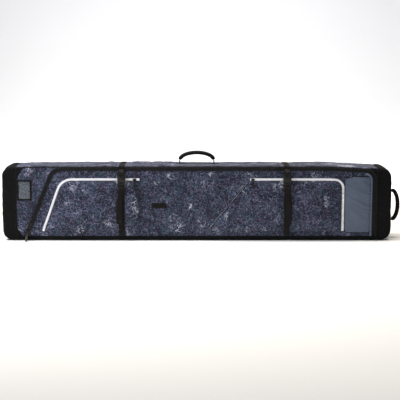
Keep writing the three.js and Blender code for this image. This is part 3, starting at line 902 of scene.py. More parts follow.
def ribbon(width: float, thick: float) -> list[tuple[float, float]]:
    """Section of a strap that stands on its line, with soft edges."""
    half, soft = width / 2, thick * 0.35
    return [(-half + soft, 0), (half - soft, 0), (half, soft), (half, thick - soft), (half - soft, thick),
            (half * 0.33, thick * 1.04), (-half * 0.33, thick * 1.04),
            (-half + soft, thick), (-half, thick - soft), (-half, soft)]


class Bar(Enum):
    """Kinds of stitch, and the coil of a zip: pitch, length, width and height in millimetres."""

    SEAM = (5.2, 3.7, 0.95, 0.6)
    PATCH = (4.4, 3.2, 0.95, 0.6)
    STRAP = (4.6, 3.3, 0.9, 0.6)
    FOOT = (3.6, 2.8, 0.9, 0.7)
    TAIL = (3.4, 2.6, 0.9, 0.7)
    GRIP = (4.2, 3.0, 0.9, 0.7)
    GRIP_END = (3.2, 2.4, 0.9, 0.6)
    ANCHOR = (3.2, 2.5, 0.9, 0.7)
    COIL = (2.3, 1.5, 4.6, 1.5)


def bars(line: Array, normal: Array, kind: Bar) -> Solid:
    """A row of small lozenge bars, such as stitches or zip teeth.

    Args:
        line: Points of the row, shape (n, 3).
        normal: Unit directions away from the cloth, one for each point or one for all.
        kind: Spacing and size of the bars.

    Returns:
        All bars as one solid.
    """
    pitch, length, width, height = (value * MM for value in kind.value)
    normals = np.broadcast_to(normal, line.shape)
    both = spaced(np.hstack([line, normals]), pitch)
    spots, normals = both[:, :3], both[:, 3:]
    normals = normals / np.linalg.norm(normals, axis=1)[:, None]
    along = tangents(spots)
    across = np.cross(normals, along)
    ring = [(-1, 0), (-0.6, -1), (0.6, -1), (1, 0), (0.6, 1), (-0.6, 1)]
    base = np.array([(a * length / 2, b * width / 2, 0) for a, b in ring])
    crest = np.array([(a * length * 0.36, b * width * 0.28, height) for a, b in ring])
    local = np.vstack([base - [0, 0, height * 0.3], crest])
    faces = [(k, (k + 1) % 6, (k + 1) % 6 + 6, k + 6) for k in range(6)]
    faces += [(5, 4, 3, 2, 1, 0), (6, 7, 8, 9, 10, 11)]
    points = (spots[:, None] + local[None, :, 0:1] * along[:, None]
              + local[None, :, 1:2] * across[:, None] + local[None, :, 2:3] * normals[:, None])
    every = [tuple(int(v + 12 * i) for v in face) for i in range(len(spots)) for face in faces]
    layout = points.reshape(-1, 3)[:, [0, 2]]
    return Solid(points.reshape(-1, 3), every, layout)


def plank(outline: Array, thick: float, place: Matrix, soft: float,
          holes: Sequence[Array] = ()) -> bpy.types.Mesh:
    """A small moulded plate with soft edges.

    Args:
        outline: Outline in the plate's own X and Z.
        thick: Its thickness, centred on Y.
        place: Where it goes.
        soft: Width of its bevels.
        holes: Outlines cut through it.

    Returns:
        The mesh, in the row frame.
    """
    mesh = mesh_of("plank", prism(outline, -thick / 2, thick / 2))
    if holes:
        mesh = carve(mesh, [("DIFFERENCE", prism(hole, -thick, thick)) for hole in holes], "plank")
    mesh = softened(mesh, soft)
    mesh.transform(place)
    return mesh


def rectangle(a: float, b: float, width: float, height: float, radius: float, steps: int = 5) -> Array:
    """A rounded rectangle round a centre."""
    w, h = width / 2, height / 2
    return rounded([(a - w, b - h, radius), (a + w, b - h, radius), (a + w, b + h, radius),
                    (a - w, b + h, radius)], steps=steps)


def mirrored(corners: Sequence[tuple[float, float, float]]) -> Array:
    """An outline from its right half, whose corners are (a, b, radius)."""
    left = [(-a, b, radius) for a, b, radius in reversed(corners)]
    return rounded([left[-1], *corners, *left[:-1]])


def front_of(low: Vector, high: Vector, radius: float) -> Array:
    """A box seen from the front, with round corners."""
    return rectangle((low.x + high.x) / 2, (low.z + high.z) / 2, high.x - low.x, high.z - low.z, radius)


def welded(name: str, meshes: Sequence[bpy.types.Mesh]) -> bpy.types.Mesh:
    """Several meshes in one, as separate closed solids."""
    points, faces, start = [], [], 0
    for mesh in meshes:
        points += [tuple(v.co) for v in mesh.vertices]
        faces += [tuple(v + start for v in p.vertices) for p in mesh.polygons]
        start += len(mesh.vertices)
    return mesh_of(name, Solid(np.array(points), faces))


# ---------------------------------------------------------------- the soft surface


@dataclass(frozen=True)
class Skin:
    """The bag's soft surface and the places of its seams.

    Attributes:
        half_length: Half of the bag's length.
        height: Height as it stands.
        half_depth: Half of its depth.
        cap_x: Distance of the end cap seams from the middle.
        fold: Height of the lid's fold.
        slant: Slant of the main zip's first run.
        straps: Places of the two compression straps.
        edge: Radius of the rolled seams.
        corner: Radius of the corners seen from the front.
        wall: Thickness of the padded cloth.
        seam: Half of the gap between two panels.
        zip_half: Half of the main zip's width.
        foot_inset: Distance of the zip's foot from the wheel end.
        slanted_turn: Radius of the zip's turn above its slanted run.
        square_turn: Radius of its other turn.
    """

    half_length: float
    height: float
    half_depth: float
    cap_x: float
    fold: float
    slant: float
    straps: tuple[float, float]
    edge: float = 11 * MM
    corner: float = 42 * MM
    wall: float = 6 * MM
    seam: float = 0.15 * MM
    zip_half: float = 9.5 * MM
    foot_inset: float = 100 * MM
    slanted_turn: float = 60 * MM
    square_turn: float = 40 * MM

    @classmethod
    def read(cls) -> "Skin":
        """Reads the places from the frame."""
        low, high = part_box("wheel_end_cap")
        joints = {joint["name"]: joint for joint in frame["joints"]}
        axis = joints["lower_main_zip"]["axis"]
        centres = [sum(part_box(f"{side}_strap_top")[i].x for i in (0, 1)) / 2 for side in ("left", "right")]
        return cls(half_length=-low.x, height=high.z, half_depth=-low.y, cap_x=-high.x - cls.seam,
                   fold=joints["lid_hinge"]["pos_m"][2], slant=math.atan2(axis[0], axis[2]),
                   straps=tuple(centres))

    def zip_line(self, inset: float, foot: float | None = None) -> Array:
        """The main zip's line from its foot, over the top and down the other side."""
        low = self.fold + 0.3 * MM if foot is None else foot
        top = self.height - self.zip_half - inset
        right = self.cap_x - self.zip_half - inset
        lean = math.tan(self.slant)

        def side(z: float) -> float:
            """Place along X of the slanted run."""
            return (-self.half_length + self.foot_inset + (z - self.fold) * lean
                    + inset / math.cos(self.slant))

        return rounded([(side(low), low, 0), (side(top), top, self.slanted_turn - inset),
                        (right, top, self.square_turn - inset), (right, low, 0)], closed=False)

    def inset(self, x: Array, z: Array) -> Array:
        """Distance inside the bag's outline, seen from the front."""
        a = np.abs(x) - (self.half_length - self.corner)
        b = np.abs(z - self.height / 2) - (self.height / 2 - self.corner)
        outside = np.hypot(np.maximum(a, 0), np.maximum(b, 0)) + np.minimum(np.maximum(a, b), 0)
        return self.corner - outside

    def pull_in(self, away: Array, run: Array, seed: int) -> Array:
        """Dip and puckers of cloth beside a sewn line."""
        points = np.column_stack([run, away * 0, run * 0])
        wander = noise(points / 0.05, seed) * 9
        strength = 0.45 + 0.55 * noise(points / 0.09, seed + 1) ** 2 * 2
        pucker = np.sin(run * (2 * math.pi / 13e-3) + wander + away * 90)
        reach = rise(away, 0, 5 * MM) * bell(away, 34 * MM)
        return -1.3 * MM * bell(away, 7 * MM) + 1.7 * MM * pucker * strength * reach

    def folds(self, points: Array, seed: int) -> Array:
        """Slack of the cloth: broad sags with narrow creases on them."""
        sag = fractal(points, (0.17, 0.17, 0.07), seed, 2)
        slanted = points + np.column_stack([points[:, 2], points[:, 0] * 0, points[:, 0]]) * 0.45
        crease = 1 - np.abs(noise(slanted / np.array([0.13, 0.13, 0.045]), seed + 7))
        small = 1 - np.abs(noise(slanted / np.array([0.05, 0.05, 0.021]), seed + 9))
        patchy = 0.5 + 0.5 * noise(points / 0.19, seed + 11)
        return 2.1 * MM * sag + (3.6 * MM * crease**6 + 1.9 * MM * small**5) * (0.3 + 0.7 * patchy)

    def front(self, x: Array, z: Array) -> Array:
        """Rise of the front cloth above its flat plane."""
        x, z = np.asarray(x, float), np.asarray(z, float)
        points = np.column_stack([x, x * 0, z])
        up = np.clip(z / self.height, 0, 1) * 2 - 1
        total = 2.6 * MM * (1 - up**4) * rise(self.half_length - np.abs(x), 0, 0.12) - 1.2 * MM
        total = total + self.folds(points, 3)
        away, run = self.near(x, z, self.zip_line(self.zip_half))
        total = total + self.pull_in(away, run, 21)
        away, run = self.near(x, z, self.zip_line(-self.zip_half))
        total = total + self.pull_in(away, run, 27)
        away, _ = self.near(x, z, self.zip_line(0))
        total = total * (1 - 0.8 * bell(away, 14 * MM))
        total = total - 1.4 * MM * bell(np.abs(x) - self.cap_x, 6 * MM)
        for k, strap in enumerate(self.straps):
            beside = np.abs(x - strap)
            total = total * (1 - 0.75 * bell(beside, 32 * MM))
            total = total - 2.2 * MM * bell(beside, 30 * MM) * (0.4 + 0.6 * rise(z, 0.1, 0.3))
            drape = np.sin((x - strap) * 2 * math.pi / 17e-3 + noise(points / 0.04, 50 + k) * 3)
            near_top = bell(self.height - z, 42 * MM) * bell(beside, 75 * MM) * rise(beside, 12 * MM, 22 * MM)
            total = total + 1.3 * MM * drape * near_top
        return total * rise(self.inset(x, z), -1 * MM, 9 * MM) * rise(np.abs(z - self.fold), 0, 20 * MM)

    def out_at(self, x: Array, z: Array) -> Array:
        """Distance of the front cloth from the middle plane, with its rolled edge."""
        x, z = np.asarray(x, float), np.asarray(z, float)
        depth = np.clip(self.edge - self.inset(x, z), 0, self.edge)
        roll = self.edge - np.sqrt(np.maximum(self.edge**2 - depth**2, 0))
        return self.half_depth + self.front(x, z) - roll

    def on_front(self, points: Array) -> Array:
        """Moves points from the flat front plane onto the cloth."""
        moved = np.array(points)
        moved[:, 1] -= self.out_at(moved[:, 0], moved[:, 2]) - self.half_depth
        return moved

    @staticmethod
    def near(x: Array, z: Array, line: Array) -> tuple[Array, Array]:
        """Distance from a line and the run along it of the nearest point."""
        places = np.column_stack([x, z])
        best, run, start = np.full(len(places), np.inf), np.zeros(len(places)), 0.0
        for a, b in zip(line[:-1], line[1:]):
            side = b - a
            length = float(np.linalg.norm(side))
            if length < 1e-9:
                continue
            t = np.clip(((places - a) @ side) / length**2, 0, 1)
            away = np.linalg.norm(places - a - t[:, None] * side, axis=1)
            closer = away < best
            best, run = np.where(closer, away, best), np.where(closer, start + t * length, run)
            start += length
        return best, run

    def top(self, x: Array, y: Array) -> Array:
        """Rise of the top cloth above its flat plane."""
        x, y = np.asarray(x, float), np.asarray(y, float)
        points = np.column_stack([x, x * 0 + 3, y * 1.2])
        total = 2.6 * MM * (1 - (y / self.half_depth) ** 4) + 1.15 * self.folds(points, 63)
        total = total * (1 - rise(0.125 - np.abs(x), 0, 0.03) * bell(y - 0.025, 0.05))
        total = total - 1.4 * MM * bell(np.abs(x) - self.cap_x, 6 * MM)
        for strap in self.straps:
            beside = np.abs(x - strap)
            total = total - 2.6 * MM * bell(beside, 26 * MM)
            ripple = np.sin((x - strap) * 2 * math.pi / 19e-3 + noise(points / 0.05, 71) * 3)
            total = total + 1.2 * MM * ripple * bell(beside, 70 * MM) * rise(beside, 12 * MM, 20 * MM)
        return total * rise(self.half_depth - np.abs(y), 0, 12 * MM)

    def on_top(self, points: Array) -> Array:
        """Moves points from the flat top plane onto the cloth."""
        moved = np.array(points)
        moved[:, 2] += self.top(moved[:, 0], moved[:, 1])
        return moved

    def form(self, step: float, inward: float = 0) -> Solid:
        """The closed soft form.

        Args:
            step: Size of its cells.
            inward: Distance inside the cloth's face; only the face itself has folds.

        Returns:
            The solid.
        """
        reach = np.array([self.half_length, self.half_depth, self.height / 2]) - inward
        axes = []
        for half in reach:
            fine = np.linspace(0, 2 * self.edge, max(2, int(2 * self.edge / (step * 0.55))) + 1)
            coarse = np.linspace(-half + 2 * self.edge, half - 2 * self.edge,
                                 max(2, int(2 * half / step)) + 1)
            axes.append(np.unique(np.round(np.concatenate([fine - half, coarse, half - fine]), 7)))
        keys, quads = [], []
        sizes = [len(axis) for axis in axes]
        for axis, end in itertools.product(range(3), (0, 1)):
            first, second = (axis + 1) % 3, (axis + 2) % 3
            grid = np.indices((sizes[first], sizes[second]))
            place = np.zeros((*grid.shape[1:], 3), np.int64)
            place[..., first], place[..., second] = grid
            place[..., axis] = end * (sizes[axis] - 1)
            key = (place[..., 0] * sizes[1] + place[..., 1]) * sizes[2] + place[..., 2]
            corners = [key[:-1, :-1], key[1:, :-1], key[1:, 1:], key[:-1, 1:]]
            quad = np.stack([corner.ravel() for corner in corners], axis=1)
            quads.append(quad if end else quad[:, ::-1])
            keys.append(key.ravel())
        unique = np.unique(np.concatenate(keys))
        faces = np.searchsorted(unique, np.vstack(quads))
        cell = np.column_stack([unique // (sizes[1] * sizes[2]), unique // sizes[2] % sizes[1],
                                unique % sizes[2]])
        flat = np.column_stack([axes[k][cell[:, k]] for k in range(3)])
        points, normals = self._roll(flat, reach, max(self.corner - inward, 4 * MM),
                                     max(self.edge - inward, 2 * MM))
        points[:, 2] += self.height / 2
        if inward == 0:
            points = points + normals * self._rise(points, normals)[:, None]
        return Solid(points, [tuple(face) for face in faces.tolist()])

    @staticmethod
    def _roll(flat: Array, reach: Array, corner: float, edge: float) -> tuple[Array, Array]:
        """Rounds a block: first its corners seen from the front, then its long edges."""
        plane = flat[:, [0, 2]]
        core = np.clip(plane, -(reach[[0, 2]] - corner), reach[[0, 2]] - corner)
        away = plane - core
        most = np.abs(away).max(1)
        length = np.linalg.norm(away, axis=1)
        scale = np.where(length > 1e-9, most / np.maximum(length, 1e-9), 1)
        in_corner = (np.abs(away) > 1e-9).all(1)
        away = np.where(in_corner[:, None], away * scale[:, None], away)
        reached = np.linalg.norm(away, axis=1)
        outward = away / np.maximum(reached, 1e-9)[:, None]
        a = np.clip(reached - (corner - edge), 0, None)
        b = np.clip(np.abs(flat[:, 1]) - (reach[1] - edge), 0, None)
        both = np.hypot(a, b)
        shrink = np.where(both > 1e-9, np.maximum(a, b) / np.maximum(both, 1e-9), 1)
        a2, b2 = a * shrink, b * shrink
        spot = core + outward * (reached - a + a2)[:, None]
        y = np.sign(flat[:, 1]) * (np.abs(flat[:, 1]) - b + b2)
        points = np.column_stack([spot[:, 0], y, spot[:, 1]])
        side = np.where(both > 1e-9, a / np.maximum(both, 1e-9), 0)
        face = np.where(both > 1e-9, b / np.maximum(both, 1e-9), 0)
        normals = np.column_stack([outward[:, 0] * side, np.sign(flat[:, 1]) * face, outward[:, 1] * side])
        return points, normals

    def _rise(self, points: Array, normals: Array) -> Array:
        """Rise of the cloth along its normal, blended between the six sides."""
        x, y, z = points.T
        weight = normals**2
        fore = self.front(x, z)
        aft = self.folds(points + [2, 0, 0], 33) * 0.7 * rise(self.inset(x, z), 0, 12 * MM)
        roof = self.top(x, y)
        ends = np.column_stack([y, x, z])
        cap = (2.2 * MM * (1 - (y / self.half_depth) ** 2) + self.folds(ends, 81) * 0.8) * rise(
            self.half_depth - np.abs(y), 0, 12 * MM)
        return (weight[:, 1] * np.where(y < 0, fore, aft) + weight[:, 2] * np.where(z > 0.05, roof, 0)
                + weight[:, 0] * cap)

    def slab(self, outline: Array, thick: float, step: float, soft: float,
             lift: Field | None = None, sink: float = 1 * MM) -> bpy.types.Mesh:
        """A padded piece that lies on the front cloth.

        Args:
            outline: Its outline in X and Z.
            thick: Its thickness.
            step: Size of its cells.
            soft: How far the edges fall away.
            lift: More height in the middle, by place.
            sink: How far its underside lies in the cloth.

        Returns:
            The closed mesh.
        """
        low, high = outline.min(0) - step, outline.max(0) + step
        nx, nz = (max(2, int((high[k] - low[k]) / step)) + 1 for k in (0, 1))
        gx, gz = np.meshgrid(np.linspace(low[0], high[0], nx), np.linspace(low[1], high[1], nz),
                             indexing="ij")
        x, z = gx.ravel(), gz.ravel()
        away, _ = self.near(x, z, ring(outline))
        t = np.clip(away / soft, 0, 1)
        dome = 0.3 + 0.7 * np.sqrt(1 - (1 - t) ** 2)
        base = self.out_at(x, z)
        top = base + thick * dome + (lift(x, z) * rise(away, 0, 2.5 * soft) if lift else 0)
        points = np.vstack([np.column_stack([x, -top, z]), np.column_stack([x, sink - base, z])])
        mesh = mesh_of("slab", Solid(points, layers(nx, nz)))
        return carve(mesh, [("INTERSECT", prism(outline, -0.2, 0))], "slab")

    def before(self, line: Array, proud: float = 0) -> Array:
        """A line in X and Z, moved to the flat front plane or a little before it."""
        return np.column_stack([line[:, 0], line[:, 0] * 0 - self.half_depth - proud, line[:, 1]])

    def tape(self, line: Array, profile: Sequence[tuple[float, float]]) -> Solid:
        """A section carried along a line on the front cloth."""
        steps = tangents(line)
        across = np.column_stack([steps[:, 1], steps[:, 0] * 0, -steps[:, 0]])
        return sweep(self.before(line), profile, across, each(FRONT, line), self.on_front)

    def stitches(self, line: Array, proud: float = 0) -> Solid:
        """Stitches along a line on the front cloth."""
        flat = spaced(np.asarray(line), 4 * MM)
        return bars(self.on_front(self.before(flat, proud)), FRONT, Bar.SEAM)


def inward(outline: Array, distance: float, closed: bool = True) -> Array:
    """A line moved to its left by a distance."""
    line = np.asarray(outline, float)
    if closed:
        steps = np.roll(line, -1, axis=0) - np.roll(line, 1, axis=0)
    else:
        steps = np.gradient(line, axis=0)
    steps = steps / np.maximum(np.linalg.norm(steps, axis=1), 1e-9)[:, None]
    return line + np.column_stack([-steps[:, 1], steps[:, 0]]) * distance


def ring(outline: Array) -> Array:
    """A closed outline as an open line that comes back to its start."""
    return np.vstack([outline, outline[:1]])


# ---------------------------------------------------------------- sub-assemblies


class Assembly:
    """A group of pieces that build on the same skin."""

    def __init__(self, skin: Skin) -> None:
        """Keeps the skin."""
        self.skin = skin

    def build(self) -> None:
        """Adds the shapes."""
        raise NotImplementedError

    def dress(self) -> None:
        """Adds stitching, piping and other small parts."""

    def sewn(self, name: str, lines: Sequence[Array], body: str, finish: Finish = DARK_THREAD,
             proud: float = 0) -> None:
        """Adds rows of stitches on the front cloth as one piece."""
        solid = join([self.skin.stitches(line, proud) for line in lines])
        piece(name, solid, finish, body)


class Shell(Assembly):
    """The padded panels, cut from one soft form along their seams."""

    def build(self) -> None:
        """Cuts the form into its sewn panels."""
        skin = self.skin
        form = mesh_of("form", skin.form(5 * MM))
        hollow = skin.form(30 * MM, skin.wall)
        far = 2.0
        seam, edge = skin.seam, skin.wall - skin.half_depth
        middle = box((seam - skin.cap_x, -far, -far), (skin.cap_x - seam, far, far))
        ahead = ("INTERSECT", box((-far, -far, -far), (far, edge - seam, far)))
        bare = [("DIFFERENCE", hollow), ("INTERSECT", middle)]
        wells = [("DIFFERENCE", Wheel.block(name, 0.6 * MM)) for name in ("lower", "upper")]

        def inside(inset: float, foot: float | None = None) -> Solid:
            """The front of the bag within the main zip's line."""
            return prism(skin.zip_line(inset, foot), -far, 0)

        low = -skin.height
        beyond = ("DIFFERENCE", inside(-skin.zip_half - seam, low))
        above = box((-far, -far, skin.fold + seam), (0, far, far))
        roof = box((-far, edge + seam, skin.height - 17 * MM), (far, -edge - seam, far))
        floor = box((-far, -far, -far), (far, -edge - seam, skin.fold - seam))
        rear = box((-far, -edge + seam, -far), (far, far, far))
        turn = box((skin.cap_x - 59 * MM, -far, skin.height / 2), (far, far, far))
        panels = [
            ("lid_panel", PRINT, "lid", [*bare, ahead, ("INTERSECT", inside(skin.zip_half + seam))]),
            ("wheel_end_corner", PRINT, "shell", [*bare, ahead, beyond, ("INTERSECT", above)]),
            ("back_panel", PRINT, "shell", [*bare, ("INTERSECT", rear), *wells]),
            ("top_gusset", PRINT, "shell", [*bare, ("INTERSECT", roof)]),
            ("bottom_gusset", BLACK_CLOTH, "shell", [*bare, ("INTERSECT", floor)]),
            ("wheel_end_cap", BLACK_CLOTH, "shell", [
                ("DIFFERENCE", hollow),
                ("INTERSECT", box((-far, -far, -far), (-skin.cap_x - seam, far, far))),
                *wells]),
        ]
        for name, finish, body, steps in panels:
            self.panel(name, carve(form, steps, name), finish, body)
        cap = carve(form, [("DIFFERENCE", hollow),
                           ("INTERSECT", box((skin.cap_x + seam, -far, -far), (far, far, far)))], "cap")
        corner = carve(form, [*bare, ahead, beyond, ("INTERSECT", turn)], "corner")
        self.panel("handle_end_cap", welded("handle_end_cap", [cap, corner]), BLACK_CLOTH, "shell")

    @staticmethod
    def panel(name: str, mesh: bpy.types.Mesh, finish: Finish, body: str) -> None:
        """Finishes one padded panel."""
        thing = piece(f"{name}_cloth", mesh, finish, body, [name], 45)

    def dress(self) -> None:
        """Adds piping and stitching along the panels' seams."""
        skin = self.skin
        self.piping()
        self.patches()
        line = np.array([[7 * MM - skin.cap_x, 22 * MM], [7 * MM - skin.cap_x, 0.29]])
        self.sewn("cap_stitches", [line, line - [14 * MM, 0]], "shell")
        seam = np.array([[-0.6975, 0.168], [-0.6975, 0.292]])
        self.sewn("corner_stitches", [seam], "shell")
        lid_rows = [skin.zip_line(skin.zip_half + 4 * MM), np.array([[-0.70, 24 * MM], [0.73, 24 * MM]])]
        self.sewn("lid_stitches", lid_rows, "lid")
        self.top_rows()

    def top_rows(self) -> None:
        """Stitches across the top, beside its two edges and round the handle's patch."""
        skin = self.skin
        reach, beside = skin.cap_x - 60 * MM, 74 * MM
        line = spaced(np.array([[-reach, 0], [reach, 0]]), 6 * MM)
        rows = []
        for y in (-beside, beside):
            points = np.column_stack([line[:, 0], line[:, 0] * 0 + y, line[:, 0] * 0 + skin.height])
            rows.append(bars(skin.on_top(points), UP, Bar.SEAM))
        patch = ring(rectangle(0, 20 * MM, 235 * MM, 66 * MM, 8 * MM))
        flat = spaced(patch, 3 * MM)
        points = np.column_stack([flat, flat[:, 0] * 0 + skin.height])
        rows.append(bars(skin.on_top(points), UP, Bar.PATCH))
        piece("top_stitches", join(rows), DARK_THREAD, "shell")

    def patches(self) -> None:
        """Black patches beside the wheel end cap, and the ridge beside the zip's square side."""
        skin = self.skin
        left = -skin.cap_x - 0.5 * MM
        for name, corners in (
                ("upper", [(left, 0.258, 0), (left + 24 * MM, 0.301, 4 * MM), (left + 40 * MM, 0.3135, 0),
                           (left, 0.3135, 0)]),
                ("lower", [(left, skin.fold + 0.3 * MM, 0), (left + 26 * MM, skin.fold + 0.3 * MM, 0),
                           (left + 12 * MM, 0.034, 6 * MM), (left, 0.054, 0)])):
            mesh = skin.slab(rounded(corners), 1.3 * MM, 2.5 * MM, 1.2 * MM)
            piece(f"{name}_corner_patch", mesh, BLACK_CLOTH, "shell")
        line = skin.zip_line(skin.zip_half + 5.6 * MM)
        line = spaced(line[line[:, 0] > 0.7], 5 * MM)
        ridge = self.strand(skin.on_front(skin.before(line, 1.2 * MM)), 4.4 * MM)
        piece("lid_ridge", ridge, SCUFF, "lid")

    def piping(self) -> None:
        """Cord piping along the rolled edges and round the end caps."""
        skin = self.skin
        lines = []
        inset = 2.6 * MM
        reach, up = skin.cap_x - 3 * MM, skin.height - inset
        for side in (-1, 1):
            y = side * (skin.half_depth - inset)
            lines.append(np.array([[-reach, y, up], [reach, y, up]]))
        y = skin.half_depth - inset
        lines.append(np.array([[-reach, y, inset], [reach, y, inset]]))
        strands = [self.strand(spaced(line, 12 * MM), 1.9 * MM) for line in lines]
        for end in (-1, 1):
            flat = rectangle(0, skin.height / 2, 2 * skin.half_depth - 1 * MM, skin.height - 1 * MM, 10 * MM)
            hoop = ring(flat)
            points = np.column_stack([hoop[:, 0] * 0 + end * skin.cap_x, hoop])
            strands.append(self.strand(spaced(points, 7 * MM), 2.0 * MM))
        piece("shell_piping", join(strands), BLACK_TAPE, "shell")

    @staticmethod
    def strand(line: Array, radius: float) -> Solid:
        """A round cord along a line."""
        along = tangents(line)
        first = np.cross(along, np.where(np.abs(along[:, :1]) > 0.8, UP, ALONG))
        first /= np.linalg.norm(first, axis=1)[:, None]
        return sweep(line, oval(2 * radius, 2 * radius, 10, 1), first, np.cross(along, first))


class Zips(Assembly):
    """The main zip's two lips, which hide its teeth."""

    def build(self) -> None:
        """Adds the lips of the main zip."""
        skin = self.skin
        lid = skin.zip_line(0, skin.fold + 3 * MM)
        body = skin.zip_line(0)
        gap, half = 0.3 * MM, skin.zip_half
        lip = [(gap, -1.5 * MM), (half, -1.5 * MM), (half, 0.7 * MM), (half * 0.86, 1.5 * MM),
               (half * 0.62, 1.3 * MM), (half * 0.45, 1.9 * MM), (half * 0.15, 2.3 * MM), (gap, 1.7 * MM)]
        self.lip("main_zip_lid", lid, lip, "lid", "main_zip_lid_tape")
        self.lip("main_zip_body", body, [(-a, h) for a, h in lip], "shell", "main_zip_body_tape")

    def lip(self, name: str, line: Array, profile: list[tuple[float, float]], body: str, node: str) -> None:
        """One lip, with its edge cord and two rows of stitches."""
        skin = self.skin
        flat = spaced(line, 5 * MM)
        piece(f"{name}_lip", skin.tape(flat, profile), BLACK_TAPE, body, [node], 50)
        side = 1 if body == "lid" else -1
        rows = [inward(flat, -side * d, False) for d in (5.4 * MM, 7.8 * MM)]
        self.sewn(f"{name}_stitches", rows, body, DARK_THREAD, 1.5 * MM)


@dataclass(frozen=True)
class PocketPlan:
    """One outer pocket.

    Attributes:
        name: The CAD node of its cloth.
        outline: Outline of its cloth, in X and Z.
        zip_line: Line of its zip, in X and Z.
        seed: Picks the noise of its folds.
    """

    name: str
    outline: Array
    zip_line: Array
    seed: int


class Pockets(Assembly):
    """The two outer pockets and their white zips."""

    proud: float = 8 * MM
    tape: float = 12 * MM
    foot: float = 40 * MM
    top: float = 260 * MM
    lean: float = math.radians(20)
    slanted_turn: float = 62 * MM
    square_turn: float = 36 * MM

    def plans(self) -> list[PocketPlan]:
        """Outlines of both pockets."""
        skin = self.skin
        inset = self.tape / 2 + 0.3 * MM
        start = -skin.half_length + 172 * MM
        left_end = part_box("left_pocket")[1].x
        top = self.top - inset

        def side(z: float, shift: float) -> float:
            """Place along X of the left pocket's slanted side."""
            return start + (z - self.foot) * math.tan(self.lean) + shift / math.cos(self.lean)

        left = rounded([(side(self.foot, inset), self.foot, 0),
                        (side(top, inset), top, self.slanted_turn - inset),
                        (left_end, top, 8 * MM), (left_end, self.foot, 8 * MM)])
        left_zip = rounded([(side(self.foot, 0), self.foot, 0),
                            (side(self.top, 0), self.top, self.slanted_turn),
                            (left_end, self.top, 0)], closed=False)
        low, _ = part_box("right_pocket")
        zip_low, zip_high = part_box("right_pocket_zip")
        zip_x = zip_high.x - self.tape / 2
        right = rounded([(low.x - 0.5 * MM, self.foot, 8 * MM), (zip_low.x, top, 4 * MM),
                         (zip_x - inset, top, self.square_turn - inset), (zip_x - inset, self.foot, 8 * MM)])
        right_zip = rounded([(zip_low.x, self.top, 0), (zip_x, self.top, self.square_turn),
                             (zip_x, self.foot, 0)], closed=False)
        return [PocketPlan("left_pocket", left, left_zip, 201),
                PocketPlan("right_pocket", right, right_zip, 301)]

    def build(self) -> None:
        """Adds the pockets' cloth and their zips."""
        for plan in self.plans():
            outline = plan.outline
            mesh = self.skin.slab(outline, self.proud, 4.2 * MM, 11 * MM,
                                  self.slack(plan), 1.5 * MM)
            mesh = billow(mesh, 4.6 * MM, self.seams(plan), 4 * MM)
            cloth = piece(f"{plan.name}_cloth", mesh, PRINT, "lid", [plan.name], 50)
            self.zip(plan)

    def seams(self, plan: PocketPlan) -> Callable[[Array], Array]:
        """Where a pocket is held: its edge, its back and below the straps."""
        skin = self.skin
        line = ring(plan.outline)

        def held(points: Array) -> Array:
            """How firmly each place is held, from 0 to 1."""
            x, y, z = points.T
            away, _ = skin.near(x, z, line)
            behind = -y < skin.out_at(x, z) + 2.5 * MM
            pressed = sum(np.abs(x - strap) < 13 * MM for strap in skin.straps) > 0
            sewn = np.where(away < 3 * MM, 1, 0.75 * bell(away, 30 * MM))
            return np.where(behind | pressed, 1, sewn)

        return held

    def slack(self, plan: PocketPlan) -> Field:
        """Slack of a pocket's cloth beyond that of the lid under it."""
        skin = self.skin
        line = ring(plan.outline)

        def lift(x: Array, z: Array) -> Array:
            """Height of the slack at each place."""
            points = np.column_stack([x, x * 0, z])
            away, run = skin.near(x, z, line)
            pucker = skin.pull_in(away - 6 * MM, run, plan.seed + 5)
            sag = 1.6 * MM * bell(z - 0.11, 0.06)
            pressed = sum(2.6 * MM * bell(x - strap, 24 * MM) for strap in skin.straps)
            return skin.folds(points, plan.seed) * 0.9 + pucker + sag - pressed

        return lift

    def zip(self, plan: PocketPlan) -> None:
        """A white zip: tape, coil and stitches."""
        skin = self.skin
        flat = spaced(plan.zip_line, 4 * MM)
        half = self.tape / 2 - 1.1 * MM
        section = [(-half, 0), (half, 0), (half, 1.6 * MM), (half * 0.55, 2.2 * MM), (half * 0.42, 1.6 * MM),
                   (-half * 0.42, 1.6 * MM), (-half * 0.55, 2.2 * MM), (-half, 1.6 * MM)]
        tape = skin.tape(flat, section)
        piece(f"{plan.name}_zip_tape", tape, WHITE_TAPE, "lid", [f"{plan.name}_zip"], 50)
        teeth = bars(skin.on_front(skin.before(flat, 1.6 * MM)), FRONT, Bar.COIL)
        piece(f"{plan.name}_zip_coil", teeth, WHITE_COIL, "lid")
        rows = [inward(flat, side * half * 0.8, False) for side in (-1, 1)]
        self.sewn(f"{plan.name}_zip_stitches", rows, "lid", PALE_THREAD, 2.0 * MM)

    def dress(self) -> None:
        """Adds the stitches inside the pockets' edges, and along a slanted side a black cord that is painted
        shadow, with pale stitches.
        """
        for plan in self.plans():
            line = ring(inward(plan.outline, 5.5 * MM))
            if not self.holds(plan.outline, line):
                line = ring(inward(plan.outline, -5.5 * MM))
            self.sewn(f"{plan.name}_stitches", [line], "lid", DARK_THREAD, self.proud * 0.8)
            edge = spaced(ring(plan.outline), 5 * MM)
            slanted = (edge[:, 1] > self.foot + 6 * MM) & (np.abs(np.gradient(edge[:, 0])) > 1 * MM)
            slanted &= self.skin.near(edge[:, 0], edge[:, 1], plan.zip_line)[0] > 10 * MM
            if slanted.sum() > 20:
                self.slanted_seam_and_shadow_cord(plan, edge[slanted])

